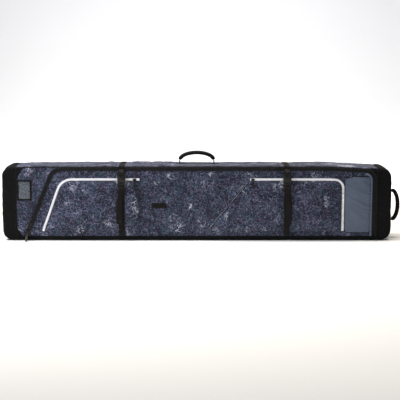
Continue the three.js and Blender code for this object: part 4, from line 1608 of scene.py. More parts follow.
    def slanted_seam_and_shadow_cord(self, plan: PocketPlan, edge: Array) -> None:
        """A black cord that is painted shadow beside the seam, and pale stitches, along a pocket's slanted
        side.

        Args:
            plan: The pocket.
            edge: The side's points, in X and Z.
        """
        edge = edge[np.argsort(edge[:, 1])]
        # The black cord is painted shadow along the slanted seam.
        cord = Shell.strand(self.skin.on_front(self.skin.before(edge, 1.5 * MM)), 2.0 * MM)
        piece(f"{plan.name}_piping", cord, BLACK_TAPE, "lid")
        beside = edge - [5 * MM, 0]
        self.sewn(f"{plan.name}_seam_stitches", [beside], "lid", PALE_THREAD, 1.4 * MM)

    @staticmethod
    def holds(outline: Array, line: Array) -> bool:
        """Whether a line is inside an outline."""
        return float(np.ptp(line[:, 0])) < float(np.ptp(outline[:, 0]))


class Trim(Assembly):
    """The scuff panel, the lash tab and the label window."""

    def build(self) -> None:
        """Adds the laid on pieces."""
        low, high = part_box("scuff_panel")
        self.scuff = rounded([(low.x, low.z, 17 * MM), (low.x, high.z - 13 * MM, 2 * MM),
                              (low.x + 41 * MM, high.z, 2 * MM), (high.x, high.z, 6 * MM),
                              (high.x, low.z, 17 * MM)])
        middle = (low + high) / 2

        def swell(x: Array, z: Array) -> Array:
            """The panel's full middle."""
            return 7.5 * MM * bell(x - middle.x, 0.045) * bell(z - middle.z, 0.12)

        mesh = self.skin.slab(self.scuff, 2.6 * MM, 4 * MM, 5 * MM, swell)
        piece("scuff_panel_skin", mesh, SCUFF, "lid", ["scuff_panel"], 50)
        low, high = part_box("lash_tab")
        self.lash = front_of(low, high, 5 * MM)
        tab = self.skin.slab(self.lash, 2.6 * MM, 3 * MM, 1.6 * MM)
        piece("lash_tab_patch", tab, WEB, "lid", ["lash_tab"], 50)
        self.window()

    def window(self) -> None:
        """Adds the label window: frame, card and film."""
        skin = self.skin
        low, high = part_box("label_frame")
        x, z, w, h = (low.x + high.x) / 2, (low.z + high.z) / 2, high.x - low.x, high.z - low.z
        self.frame = rectangle(x, z, w, h, 7 * MM)
        hole = rectangle(x, z, w - 14 * MM, h - 14 * MM, 3.5 * MM)
        mesh = skin.slab(self.frame, 3 * MM, 2.5 * MM, 2 * MM)
        border = carve(mesh, [("DIFFERENCE", prism(hole, -0.2, 0))], "frame")
        piece("label_frame_border", softened(border, 0.5 * MM), BLACK_CLOTH, "shell", ["label_frame"], 50)
        pane = rectangle(x, z, w - 14.8 * MM, h - 14.8 * MM, 3.2 * MM)
        card = skin.slab(pane, 0.9 * MM, 4 * MM, 0.8 * MM)
        piece("label_card_sheet", card, CARD, "shell", ["label_card"], 50)

        def wave(x: Array, z: Array) -> Array:
            """Slight waves of the film."""
            return 0.5 * MM * np.sin(x * 140 + z * 60)

        film = skin.slab(pane, 2.0 * MM, 3 * MM, 0.8 * MM, wave, -1.2 * MM)
        piece("label_film_sheet", film, CLEAR, "shell", ["label_film"], 50)

    def dress(self) -> None:
        """Adds piping round the scuff panel and all stitches."""
        skin = self.skin
        edge = spaced(ring(self.scuff), 5 * MM)
        cord = Shell.strand(skin.on_front(skin.before(edge, 0.9 * MM)), 1.7 * MM)
        piece("scuff_piping", cord, BLACK_TAPE, "lid")
        self.sewn("scuff_stitches", [ring(resized(self.scuff, 0.91, 0.955))], "lid", DARK_THREAD, 3.2 * MM)
        middle = self.lash.mean(0)
        rows = [ring(resized(self.lash, 0.9, 0.72))]
        for x in (-0.35, 0.35):
            a = middle + [x * 63 * MM, -7 * MM]
            rows.append(np.array([a, a + [0, 14 * MM]]))
        self.sewn("lash_tab_stitches", rows, "lid", DARK_THREAD, 2.3 * MM)
        rows = [ring(resized(self.frame, *share)) for share in ((0.94, 0.96), (0.83, 0.885))]
        self.sewn("label_frame_stitches", rows, "shell", DARK_THREAD, 2.6 * MM)


class Straps(Assembly):
    """Two compression straps with their buckles and loose tails."""

    width: float = 25 * MM
    thick: float = 2.2 * MM

    def build(self) -> None:
        """Adds webbing, buckles and tails."""
        for side, x in zip(("left", "right"), self.skin.straps):
            self.top(side, x)
            self.front(side, x)
            self.socket(side, x)
            self.plug(side, x)
            self.tail(side, x)

    def ribbon(self, path: Array, normal: Array, wide: float | None = None) -> Solid:
        """Webbing along a path."""
        across = np.cross(tangents(path), normal)
        across /= np.linalg.norm(across, axis=1)[:, None]
        return sweep(path, ribbon(wide or self.width, self.thick), across, normal)

    def top(self, side: str, x: float) -> None:
        """The run over the top of the bag, down to the lid's seam."""
        skin = self.skin
        y = np.linspace(skin.half_depth - 9 * MM, -skin.half_depth + 4.5 * MM, 60)
        deep = np.clip(-y - (skin.half_depth - skin.edge), 0, skin.edge)
        z = skin.height + skin.top(y * 0 + x, y) - skin.edge + np.sqrt(skin.edge**2 - deep**2)
        path = np.column_stack([y * 0 + x, y, z + 0.4 * MM])
        normal = np.cross(ALONG, tangents(path))
        normal *= np.sign(normal[:, 2:3])
        solid = self.ribbon(path, normal)
        rows = [bars(path + normal * self.thick + ALONG * offset * MM, normal, Bar.STRAP)
                for offset in (-9.5, 9.5)]
        piece(f"{side}_strap_top_web", solid, WEB, "shell", [f"{side}_strap_top"], 50)
        piece(f"{side}_strap_top_stitches", join(rows), DARK_THREAD, "shell")

    def out(self, x: float, z: Array) -> Array:
        """Distance of the strap's underside from the middle plane."""
        skin = self.skin
        over = 8.6 * MM * rise(z, 24 * MM, 38 * MM) * (1 - rise(z, 262 * MM, 280 * MM))
        return skin.out_at(z * 0 + x, z) + over + 0.5 * MM

    def front(self, side: str, x: float) -> None:
        """The run down the lid."""
        skin = self.skin
        z = np.linspace(skin.height - 4.5 * MM, skin.fold + 3 * MM, 110)
        path = np.column_stack([z * 0 + x, -self.out(x, z), z])
        smooth = np.convolve(np.pad(path[:, 1], 4, mode="edge"), np.ones(9) / 9, "valid")
        path[:, 1] = np.minimum(smooth, path[:, 1] + 0.2 * MM)
        normal = facing(path)
        solid = self.ribbon(path, normal)
        piece(f"{side}_strap_front_web", solid, WEB, "lid", [f"{side}_strap_front"], 50)
        foot = path[-13:] + normal[-13:] * self.thick
        beside = ALONG * 8.5 * MM
        rows = [foot + beside, foot - beside]
        for first, last, sign, count in ((2, 2, 1, 6), (10, 10, 1, 6), (2, 10, 1, 8), (2, 10, -1, 8)):
            rows.append(np.linspace(foot[first] - beside * sign, foot[last] + beside * sign, count))
        sewn = join([bars(row, FRONT, Bar.FOOT) for row in rows])
        piece(f"{side}_strap_foot_stitches", sewn, DARK_THREAD, "lid")

    def shift(self, x: float) -> float:
        """How far the lid's cloth carries the buckle beyond its plain place."""
        return float(self.skin.front(np.array([x]), np.array([0.25]))[0]) + 0.6 * MM

    def socket(self, side: str, x: float) -> None:
        """The female half: a hollow body with side windows, a bar and a webbing loop."""
        low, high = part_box(f"{side}_buckle_socket")
        y = (low.y + high.y) / 2 - self.shift(x)
        w, h, t = high.x - low.x, high.z - low.z, high.y - low.y
        outline = mirrored([(w / 2, -h / 2, 3 * MM), (w / 2, h * 0.28, 4 * MM), (w * 0.46, h / 2, 4 * MM)])
        mesh = mesh_of("socket", prism(outline, -t / 2, t / 2))
        throat = box((-w / 2 + 3.2 * MM, -t / 2 + 2.2 * MM, -h),
                     (w / 2 - 3.2 * MM, t / 2 - 2.2 * MM, h * 0.22))
        windows = box((-w, -t / 2 + 3 * MM, -h * 0.2), (w, t / 2 - 3 * MM, h * 0.12))
        slot = prism(rectangle(0, h * 0.37, w * 0.7, 4.4 * MM, 1.6 * MM), -t, t)
        mouth = prism(rectangle(0, -h * 0.47, w * 0.42, h * 0.2, 5 * MM), -t, 0)
        mesh = carve(mesh, [("DIFFERENCE", solid) for solid in (throat, windows, slot, mouth)], "socket")
        mesh = softened(mesh, 0.8 * MM)
        centre = Matrix.Translation((x, y, (low.z + high.z) / 2))
        mesh.transform(centre)
        ridges = [plank(rectangle(0, k * 3.4 * MM, w * 0.4, 1.3 * MM, 0.6 * MM), 1.2 * MM,
                        centre @ Matrix.Translation((0, -t / 2, 0)), 0.3 * MM) for k in (-1, 0, 1)]
        whole = welded("socket", [mesh, *ridges])
        piece(f"{side}_buckle_socket_body", whole, PLASTIC, "lid", [f"{side}_buckle_socket"])
        anchor = -float(self.out(x, np.array([high.z + 16 * MM]))[0])
        path = spaced(rounded([(anchor - 2 * MM, high.z + 17 * MM, 0), (y - 1 * MM, high.z + 5 * MM, 6 * MM),
                               (y - 1 * MM, high.z - 5 * MM, 0)], closed=False), 2 * MM)
        run = np.column_stack([path[:, 0] * 0 + x, path])
        fold = self.ribbon(run, facing(run), 22 * MM)
        wrap = spaced(rounded([(y + 1 * MM, high.z - 2 * MM, 0), (y - 4 * MM, high.z + 3.4 * MM, 3 * MM),
                               (y - 6.4 * MM, high.z - 3 * MM, 2 * MM), (y - 5 * MM, high.z - 7.5 * MM, 0)],
                              closed=False), 1.2 * MM)
        turn = np.column_stack([wrap[:, 0] * 0 + x, wrap])
        normal = np.cross(tangents(turn), ALONG)
        ends = sweep(turn, ribbon(22 * MM, 1.8 * MM), each(ALONG, turn), -normal)
        piece(f"{side}_buckle_loop", fold.joined([ends]), WEB, "lid")

    def plug(self, side: str, x: float) -> None:
        """The male half: a ladder lock with two bars, two prongs and a guide."""
        low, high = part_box(f"{side}_buckle_plug")
        socket_low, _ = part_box(f"{side}_buckle_socket")
        y = (low.y + high.y) / 2 - self.shift(x)
        w, t = high.x - low.x, high.y - low.y
        top = socket_low.z - 0.6 * MM
        h = top - low.z
        z = (top + low.z) / 2
        place = Matrix.Translation((x, y, z))
        outline = mirrored([(w * 0.46, -h / 2, 3 * MM), (w / 2, h * 0.1, 3 * MM), (w / 2, h / 2, 1.5 * MM)])
        slots = [rectangle(0, k * h, w * 0.74, 3.4 * MM, 1.2 * MM) for k in (-0.26, 0.12)]
        head = plank(outline, t * 0.82, place, 0.9 * MM, slots)
        reach = high.z - top
        prong = rounded([(-1.7 * MM, 0, 0.5 * MM), (1.7 * MM, 0, 0.5 * MM), (2.6 * MM, reach * 0.55, 1 * MM),
                         (1.4 * MM, reach * 0.98, 1 * MM), (-1.2 * MM, reach * 0.98, 1 * MM)])
        prongs = []
        for end in (-1, 1):
            turned = prong * np.array([end, 1])
            at = Matrix.Translation((x + end * w * 0.27, y, top - 1 * MM))
            prongs.append(plank(turned, t * 0.42, at, 0.5 * MM))
        guide = plank(rectangle(0, reach * 0.4, 4 * MM, reach * 0.82, 1.2 * MM), t * 0.4,
                      Matrix.Translation((x, y, top - 1 * MM)), 0.5 * MM)
        whole = welded("plug", [head, *prongs, guide])
        piece(f"{side}_buckle_plug_body", whole, PLASTIC, f"{side}_plug", [f"{side}_buckle_plug"])

    def tail(self, side: str, x: float) -> None:
        """The loose end: through the ladder lock, then down with a slow wave."""
        low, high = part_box(f"{side}_strap_tail")
        centre = (low.x + high.x) / 2
        y0 = (low.y + high.y) / 2 - self.shift(x) + 0.5 * MM
        run = np.linspace(0, 1, 70)
        length = high.z - low.z
        z = high.z + 14 * MM - run * (length + 14 * MM)
        free = rise(run, 0.05, 0.4)
        sway = free * 1.6 * MM * np.sin(run * 9 + x * 9) + 3.0 * MM * rise(run, 0.55, 1)
        y = y0 - sway - 3.5 * MM * bell(run - 0.04, 0.06) + 1.0 * MM * rise(run, 0, 0.3)
        lean = x + (centre - x) * rise(run, 0.0, 0.55) + 0.8 * MM * np.sin(run * 6)
        path = np.column_stack([lean, y, z])
        twist = 0.16 * np.sin(run * 5 + x) * free
        across = np.column_stack([np.cos(twist), np.sin(twist), twist * 0])
        normal = np.cross(across, tangents(path))
        normal *= -np.sign(normal[:, 1:2])
        solid = sweep(path, ribbon(self.width, self.thick), across, normal)
        tip = sweep(path[-9:] + normal[-9:] * self.thick * 0.9, ribbon(self.width * 0.98, self.thick * 0.9),
                    across[-9:], normal[-9:])
        rows = [path[-9:] + normal[-9:] * self.thick * 1.85 + across[-9:] * k * 9 * MM for k in (-1, 1)]
        rows.append(np.linspace(rows[0][2], rows[1][2], 8))
        sewn = join([bars(row, FRONT, Bar.TAIL) for row in rows])
        body, web = f"{side}_plug", solid.joined([tip])
        piece(f"{side}_strap_tail_web", web, WEB, body, [f"{side}_strap_tail"], 50)
        piece(f"{side}_strap_tail_stitches", sewn, DARK_THREAD, body)


class Size(Enum):
    """The two sizes of zip slider: width, length and thickness of the body."""

    MAIN = (16 * MM, 22 * MM, 7 * MM)
    POCKET = (11 * MM, 18 * MM, 7 * MM)


@dataclass(frozen=True)
class Slider:
    """One zip slider and its pull.

    Attributes:
        name: The zip's name in the frame.
        size: Its size.
        turn: Its turn about Y, from a zip that runs up.
        bodies: The CAD bodies of the slider and of the pull.
        lift: How far the cloth carries it beyond its plain place.
    """

    name: str
    size: Size
    turn: float
    bodies: tuple[str, str]
    lift: float

    def build(self) -> None:
        """Adds the slider's two plates, bridge and neck, and the pull."""
        width, length, thick = self.size.value
        low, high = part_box(f"{self.name}_slider")
        face = high.y - self.lift
        place = (Matrix.Translation(((low.x + high.x) / 2, face, (low.z + high.z) / 2))
                 @ Matrix.Rotation(self.turn, 4, "Y"))
        outline = rounded([(-width / 2, length / 2, 4 * MM), (0, length / 2 - 2.5 * MM, 3 * MM),
                           (width / 2, length / 2, 4 * MM), (width * 0.42, 0, 4 * MM),
                           (width * 0.28, -length / 2, 2 * MM), (-width * 0.28, -length / 2, 2 * MM),
                           (-width * 0.42, 0, 4 * MM)])

        def layer(shape: Array, thickness: float, out: float, soft: float) -> bpy.types.Mesh:
            """A plate of the slider, at a distance out from its seat."""
            return plank(shape, thickness, place @ Matrix.Translation((0, -out, 0)), soft)

        upper = layer(outline, 1.8 * MM, thick * 0.42, 0.6 * MM)
        lower = layer(outline * 0.96, 1.2 * MM, 0.7 * MM, 0.4 * MM)
        post = rectangle(0, length * 0.3, width * 0.26, length * 0.24, 1 * MM)
        neck = layer(post, thick * 0.4, thick * 0.2, 0.3 * MM)
        arch = [(0, -length * 0.36), (thick * 0.55, -length * 0.34), (thick * 0.62, 0),
                (thick * 0.55, length * 0.3), (0, length * 0.34)]
        line = spaced(rounded([(a, b, 2 * MM) for a, b in arch], closed=False), 1.2 * MM)
        path = np.column_stack([line[:, 0] * 0, -line[:, 0] - thick * 0.36, line[:, 1]])
        across = each(ALONG, path)
        bridge = mesh_of("bridge", sweep(path, oval(width * 0.3, 1.9 * MM, 10), across,
                                         np.cross(across, tangents(path))))
        bridge.transform(place)
        whole = welded("slider", [upper, lower, neck, bridge])
        piece(f"{self.name}_slider_body", whole, PLASTIC, self.bodies[0], [f"{self.name}_slider"])
        self.pull()

    def pull(self) -> None:
        """The moulded pull, with an eye, a waist and a ribbed grip."""
        joints = {joint["child"]: joint for joint in frame["joints"]}
        pivot = Vector(joints[self.bodies[1]]["pos_m"])
        low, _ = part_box(f"{self.name}_pull")
        lean = math.atan2(max(0, pivot.y - low.y - 1 * MM), max(1e-6, pivot.z - low.z))
        place = Matrix.Translation(pivot - Vector((0, self.lift, 0))) @ Matrix.Rotation(-lean, 4, "X")
        outline = mirrored([(4.5 * MM, 1.4 * MM, 1.2 * MM), (4.5 * MM, -9 * MM, 3 * MM),
                            (3.1 * MM, -13 * MM, 6 * MM), (4.5 * MM, -22 * MM, 6 * MM),
                            (4.3 * MM, -38 * MM, 3.4 * MM)])
        eye = rectangle(0, -4.5 * MM, 5.2 * MM, 8.6 * MM, 1.2 * MM)
        parts = [plank(outline, 2.0 * MM, place, 0.5 * MM, [eye])]
        for k in range(5):
            rib = rectangle(0, -22 * MM - k * 3 * MM, 6 * MM, 1.2 * MM, 0.5 * MM)
            parts.append(plank(rib, 3.6 * MM, place, 0.4 * MM))
        piece(f"{self.name}_pull_tab", welded("pull", parts), PLASTIC, self.bodies[1], [f"{self.name}_pull"])


class Sliders(Assembly):
    """The four zip sliders."""

    def build(self) -> None:
        """Adds each slider on its zip."""
        skin = self.skin
        for name, size, turn, bodies in (
                ("lower_main", Size.MAIN, skin.slant, ("lower_slider", "lower_pull")),
                ("upper_main", Size.MAIN, skin.slant, ("upper_slider", "upper_pull")),
                ("left_pocket", Size.POCKET, math.pi / 2, ("left_pocket_slide", "left_pocket_tab")),
                ("right_pocket", Size.POCKET, -math.pi / 2, ("right_pocket_slide", "right_pocket_tab"))):
            low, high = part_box(f"{name}_slider")
            x, z = np.array([(low.x + high.x) / 2]), np.array([(low.z + high.z) / 2])
            lift = max(0, float(skin.front(x, z)[0])) + 0.8 * MM
            Slider(name, size, turn, bodies, lift).build()


@dataclass(frozen=True)
class Handle:
    """A sewn handle: a web through a wrapped grip, with two anchors.

    Attributes:
        name: Its name in the frame.
        span: Distance between its feet.
        height: How far its grip stands above the bag.
        place: Where it goes, from a handle that stands on the plane Z = 0 along X.
        width: Width of the web.
        web: Thickness of the web.
    """

    name: str
    span: float
    height: float
    place: Matrix
    width: float = 18 * MM
    web: float = 3 * MM

    def arch(self, turn: Array, crown: float) -> Array:
        """The web's path in its own X and Z."""
        riser = 2.4 * MM + 0.6 * MM + self.width / 2 + 5 * MM
        x = -self.span / 2 * np.cos(turn)
        return np.column_stack([x, x * 0, riser + crown * np.sin(turn)])

    def build(self) -> None:
        """Adds the web, the grip and the anchors."""
        pivot = 3.0 * MM + self.width / 2
        crown = self.height - 6.5 * MM - pivot - 5 * MM
        turn = np.linspace(0, math.pi, 81)
        bow = self.arch(turn, crown)
        feet = [np.array([[side * self.span / 2, 0, pivot - 7 * MM]]) for side in (-1, 1)]
        path = spaced(np.vstack([feet[0], bow, feet[1]]), 2.5 * MM)
        across = each(ACROSS, path)
        normal = np.cross(across, tangents(path))
        centred = path - normal * self.web / 2
        web = sweep(centred, ribbon(self.width, self.web), across, normal)
        below = np.clip((pivot - web.points[:, 2]) / (self.width / 2 - 0.4 * MM), 0, 0.97)
        web.points[:, 1] *= np.sqrt(1 - below**2)
        self.add("web", web, WEB, self.name, [f"{self.name}_web"])
        grip = spaced(self.arch(np.linspace(0.02, 0.98, 61) * math.pi, crown), 2 * MM)
        sides = each(ACROSS, grip)
        up = np.cross(sides, tangents(grip))
        ends = np.minimum(np.arange(len(grip)), np.arange(len(grip))[::-1])
        full = 0.86 + 0.14 * rise(ends.astype(float), 0, 3) + 0.015 * np.sin(np.arange(len(grip)) * 1.3)
        section = np.array(oval(26 * MM, 16.5 * MM, 20, 0.8))
        points = np.vstack([grip[i] + (a * sides[i] + h * up[i]) * full[i]
                            for i in range(len(grip)) for a, h in section])
        solid = sweep(grip, [tuple(p) for p in section], sides, up)
        solid.points = points
        sleeve = self.add("grip", solid, WEB, self.name, [f"{self.name}_grip"])
        rows = [bars(grip[2:-2] + sides[2:-2] * k * 12 * MM + up[2:-2] * 4.6 * MM, up[2:-2], Bar.GRIP)
                for k in (-1, 1)]
        for k in (3, len(grip) - 4):
            a = grip[k] + up[k] * 8.1 * MM
            line = np.linspace(a - sides[k] * 8 * MM, a + sides[k] * 8 * MM, 9)
            rows.append(bars(line, up[k], Bar.GRIP_END))
        self.add("grip_stitches", join(rows), DARK_THREAD, self.name)
        for side, letter in ((-1, "a"), (1, "b")):
            self.anchor(side, letter, pivot)

    def anchor(self, side: int, letter: str, pivot: float) -> None:
        """A patch of webbing sewn to the bag, with an ear beside the web's foot."""
        foot = side * self.span / 2
        near = foot + side * (self.web / 2 + 0.3 * MM)
        flat = [(foot - 17 * MM, 0.4 * MM), (foot + 17 * MM, 0.4 * MM)]
        line = spaced(np.array(flat), 2 * MM)
        path = np.column_stack([line[:, 0], line[:, 0] * 0, line[:, 1]])
        base = sweep(path, ribbon(self.width + 1 * MM, 2.2 * MM), each(ACROSS, path), each(UP, path))
        ear_x = near + side * 1.2 * MM
        ear_line = spaced(np.array([[ear_x, 0, 1.4 * MM], [ear_x, 0, pivot + 4.5 * MM]]), 2 * MM)
        lean = each(ALONG * side, ear_line)
        ear = sweep(ear_line - lean * 1.1 * MM, ribbon(self.width, 2.2 * MM), each(ACROSS, ear_line), lean)
        self.add(f"anchor_{letter}_web", base.joined([ear]), WEB, "shell", [f"{self.name}_anchor_{letter}"])
        reach, half = 13.5 * MM, 6.5 * MM
        corners = [np.array([foot + a * reach, b * half, 2.5 * MM]) for a, b in
                   ((-1, -1), (1, -1), (1, 1), (-1, 1))]
        rows = [(corners[k], corners[(k + 1) % 4]) for k in range(4)] + [(corners[0], corners[2]),
                                                                          (corners[1], corners[3])]
        sewn = join([bars(np.linspace(a, b, 12), UP, Bar.ANCHOR) for a, b in rows])
        self.add(f"anchor_{letter}_stitches", sewn, PALE_THREAD, "shell")

    def add(self, part: str, solid: Solid, finish: Finish, body: str, nodes: Sequence[str] = ()
            ) -> bpy.types.Object:
        """Adds one part of the handle, turned into its place."""
        mesh = mesh_of(part, solid)
        mesh.transform(self.place)
        suffix = "_cloth" if part in ("web", "grip") else ""
        return piece(f"{self.name}_{part}{suffix}", mesh, finish, body, nodes, 50)


@dataclass(frozen=True)
class Wheel:
    """One wheel in its housing.

    Attributes:
        level: Whether it is the lower or the upper one.
        radius: Outer radius of the tyre.
        width: Width of the tyre.
        hub: Outer radius of the hub.
        axle: Radius of the axle.
    """

    level: str
    radius: float = 36 * MM
    width: float = 26 * MM
    hub: float = 24 * MM
    axle: float = 4 * MM

    @staticmethod
    def block(level: str, margin: float) -> Solid:
        """The block that the housing takes up, with a margin."""
        low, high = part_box(f"{level}_wheel_housing")
        return box([v - margin for v in low], [high.x + margin, high.y + 20 * MM, high.z + margin])

    def lathe(self, profile: Sequence[tuple[float, float]], steps: int, centre: Vector,
              shape: Callable[[float, float, float], float] | None = None) -> Solid:
        """Turns a closed profile round the axle.

        Args:
            profile: Corners of its lower half as (radius, height). The upper half mirrors it.
            steps: Steps of the turn.
            centre: Middle of the wheel.
            shape: The radius at a given radius, height and angle.

        Returns:
            The closed solid.
        """
        profile = [*profile, *((r, -h) for r, h in reversed(profile))]
        points, faces, count = [], [], len(profile)
        for i in range(steps):
            angle = 2 * math.pi * i / steps
            for r, h in profile:
                reach = shape(r, h, angle) if shape else r
                points.append((centre.x + reach * math.cos(angle), centre.y + reach * math.sin(angle),
                               centre.z + h))
        for i, k in itertools.product(range(steps), range(count)):
            a, b = i * count + k, i * count + (k + 1) % count
            c, d = (i + 1) % steps * count + k, (i + 1) % steps * count + (k + 1) % count
            faces.append((a, c, d, b))
        return Solid(np.array(points), faces)

    def build(self) -> None:
        """Adds tyre, hub, axle and housing."""
        low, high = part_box(f"{self.level}_wheel_tyre")
        centre = (low + high) / 2
        half = self.width / 2
        seat = self.hub + 0.3 * MM

        def tread(r: float, h: float, angle: float) -> float:
            """Cuts grooves in the tyre's crest, half a pitch apart on its two sides."""
            if r < self.radius - 1.2 * MM:
                return r
            phase = (angle * 36 / (2 * math.pi) + (0.5 if h > 0 else 0)) % 1
            groove = abs(h) > 3 * MM and phase < 0.34
            return r - (1.6 * MM if groove else 0)

        profile = [(seat, -half + 0.6 * MM), (seat + 0.8 * MM, -half), (self.radius - 5 * MM, -half),
                   (self.radius - 1.8 * MM, -half + 1.2 * MM), (self.radius, -half + 4 * MM),
                   (self.radius, -3.4 * MM), (self.radius, -2.9 * MM), (self.radius - 1.4 * MM, -1 * MM)]
        tyre = self.lathe(profile, 216, centre, tread)
        piece(f"{self.level}_tyre", tyre, TYRE, f"{self.level}_wheel", [f"{self.level}_wheel_tyre"], 30)
        self.rim(centre, half)
        self.fixed(centre)

    def rim(self, centre: Vector, half: float) -> None:
        """The hub, dished on both faces, with six windows between its spokes."""
        bush, rim, dish = self.axle + 0.4 * MM, self.hub - 3.6 * MM, 6 * MM
        profile = [(bush, -half + 0.6 * MM), (bush + 0.6 * MM, -half), (bush + 4 * MM, -half),
                   (bush + 4.8 * MM, -half + dish), (rim - 0.8 * MM, -half + dish), (rim, -half + 0.8 * MM),
                   (rim + 0.8 * MM, -half), (self.hub - 0.5 * MM, -half), (self.hub, -half + 0.5 * MM)]
        mesh = mesh_of("hub", self.lathe(profile, 72, centre))
        holes = []
        for k in range(6):
            angle = math.pi / 3 * k
            spot = centre + Vector((math.cos(angle), math.sin(angle), 0)) * (bush + rim + 4.8 * MM) / 2
            turned = (Matrix.Translation(spot) @ Matrix.Rotation(angle, 4, "Z")
                      @ Matrix.Rotation(math.pi / 2, 4, "X"))
            flat = rounded([(-3.6 * MM, -2.6 * MM, 1.4 * MM), (3.6 * MM, -4.2 * MM, 1.6 * MM),
                            (3.6 * MM, 4.2 * MM, 1.6 * MM), (-3.6 * MM, 2.6 * MM, 1.4 * MM)], steps=5)
            hole = prism(flat, -half, half)
            moved = np.array([turned @ Vector(p) for p in hole.points])
            holes.append(("DIFFERENCE", Solid(moved, hole.faces)))
        mesh = carve(mesh, holes, "hub")
        piece(f"{self.level}_hub", mesh, HUB, f"{self.level}_wheel", [f"{self.level}_wheel_hub"], 30)

    def fixed(self, centre: Vector) -> None:
        """The axle with its domed heads, and the housing round the wheel."""
        low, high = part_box(f"{self.level}_wheel_axle")
        reach = (high.z - low.z) / 2
        profile = [(0.4 * MM, -reach), (self.axle - 1 * MM, -reach + 0.2 * MM),
                   (self.axle, -reach + 1.2 * MM)]
        axle = self.lathe(profile, 40, centre)
        piece(f"{self.level}_axle", axle, AXLE, "shell", [f"{self.level}_wheel_axle"], 30)
        low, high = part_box(f"{self.level}_wheel_housing")
        well = self.radius + 2.5 * MM
        half = self.width / 2 + 2.5 * MM
        drum = self.lathe([(0.2 * MM, -half), (well, -half)], 64, centre)
        mouth = box((centre.x - well, centre.y, centre.z - half),
                    (centre.x + well, centre.y + 1, centre.z + half))
        bore = self.lathe([(0.2 * MM, -1), (self.axle + 0.3 * MM, -1)], 32, centre)
        bore.points[:, 2] = centre.z + (bore.points[:, 2] - centre.z) * 0.1
        mesh = carve(mesh_of("housing", box(low, high)),
                     [("DIFFERENCE", solid) for solid in (drum, mouth, bore)], "housing")
        mesh = softened(mesh, 0.9 * MM)
        lips = []
        for side in (-1, 1):
            for x in (low.x + 6 * MM, high.x - 6 * MM):
                spot = Matrix.Translation((x, high.y - 0.2 * MM, centre.z + side * (high.z - low.z) * 0.32))
                lips.append(plank(rectangle(0, 0, 5.4 * MM, 5.4 * MM, 2.6 * MM), 1.6 * MM, spot, 0.4 * MM))
        whole = welded("housing", [mesh, *lips])
        piece(f"{self.level}_housing", whole, PLASTIC, "shell", [f"{self.level}_wheel_housing"])


class Lining(Assembly):
    """Padding, board and tie straps inside the bag."""

    def build(self) -> None:
        """Adds the inner pieces."""
        lid = self.skin.zip_line(self.skin.zip_half + 14 * MM, self.skin.fold + 14 * MM)
        self.quilt("lid_foam", lid, "lid", -1)
        low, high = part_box("back_foam")
        back = front_of(low, high, 28 * MM)
        self.quilt("back_foam", back, "shell", 1)
        self.board(back)
        for number in (1, 2):
            self.tie(f"board_tie_{number}")

    def quilt(self, node: str, outline: Array, body: str, face: int) -> None:
        """A quilted pad.

        Args:
            node: The CAD node of the foam.
            outline: Its outline in X and Z.
            body: The CAD body that carries it.
            face: The side of its flat seat: 1 where the seat is its far side in Y, otherwise -1.
        """
        low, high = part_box(node)
        step = 7 * MM
        gx, gz = np.meshgrid(np.arange(low.x - step, high.x + 2 * step, step),
                             np.arange(low.z - step, high.z + 2 * step, step), indexing="ij")
        x, z = gx.ravel(), gz.ravel()
        away, _ = self.skin.near(x, z, ring(outline))
        channel = np.abs(np.sin((x + z) * math.pi / 0.075)) * np.abs(np.sin((x - z) * math.pi / 0.075))
        thick = (high.y - low.y) * (0.55 + 0.45 * np.sqrt(channel)) * (0.5 + 0.5 * rise(away, 0, 9 * MM))
        seat = low.y if face < 0 else high.y
        inner = seat - face * thick
        points = np.vstack([np.column_stack([x, inner, z]), np.column_stack([x, x * 0 + seat, z])])
        pad = mesh_of(node, Solid(points, layers(*gx.shape, face < 0)))
        mesh = carve(pad, [("INTERSECT", prism(outline, -0.2, 0.2))], node)
        piece(f"{node}_quilt", mesh, LINING, body, [node], 50)

    def board(self, outline: Array) -> None:
        """The stiff sheet, bound round its edge."""
        low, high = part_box("back_stiffener")
        place = Matrix.Translation((0, (low.y + high.y) / 2, 0))
        sheet = plank(outline, high.y - low.y, place, 0.8 * MM)
        piece("back_stiffener_sheet", sheet, BOARD, "shell", ["back_stiffener"])
        edge = spaced(ring(outline), 8 * MM)
        points = np.column_stack([edge[:, 0], edge[:, 0] * 0 + low.y + 1 * MM, edge[:, 1]])
        piece("back_stiffener_binding", Shell.strand(points, 2 * MM), BLACK_TAPE, "shell")

    def tie(self, node: str) -> None:
        """A tie strap with sewn ends and a slack middle."""
        low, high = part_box(node)
        z = np.linspace(low.z + 1 * MM, high.z - 1 * MM, 60)
        middle = bell((z - (low.z + high.z) / 2) / (high.z - low.z), 0.3)
        y = high.y - 0.2 * MM - 4.0 * MM * middle
        path = np.column_stack([z * 0 + (low.x + high.x) / 2, y, z])
        normal = facing(path)
        across = np.cross(tangents(path), normal)
        solid = sweep(path, ribbon(high.x - low.x, 2.1 * MM), across, normal)
        rows, beside, proud = [], ALONG * 14 * MM, FRONT * 2.1 * MM
        for end in (path[2:12], path[-12:-2]):
            rows += [end - beside + proud, end + beside + proud]
            rows.append(np.linspace(end[0] - beside, end[-1] + beside, 14) + proud)
        piece(f"{node}_web", solid, WEB, "shell", [node], 50)
        sewn = join([bars(row, FRONT, Bar.FOOT) for row in rows])
        piece(f"{node}_stitches", sewn, PALE_THREAD, "shell")


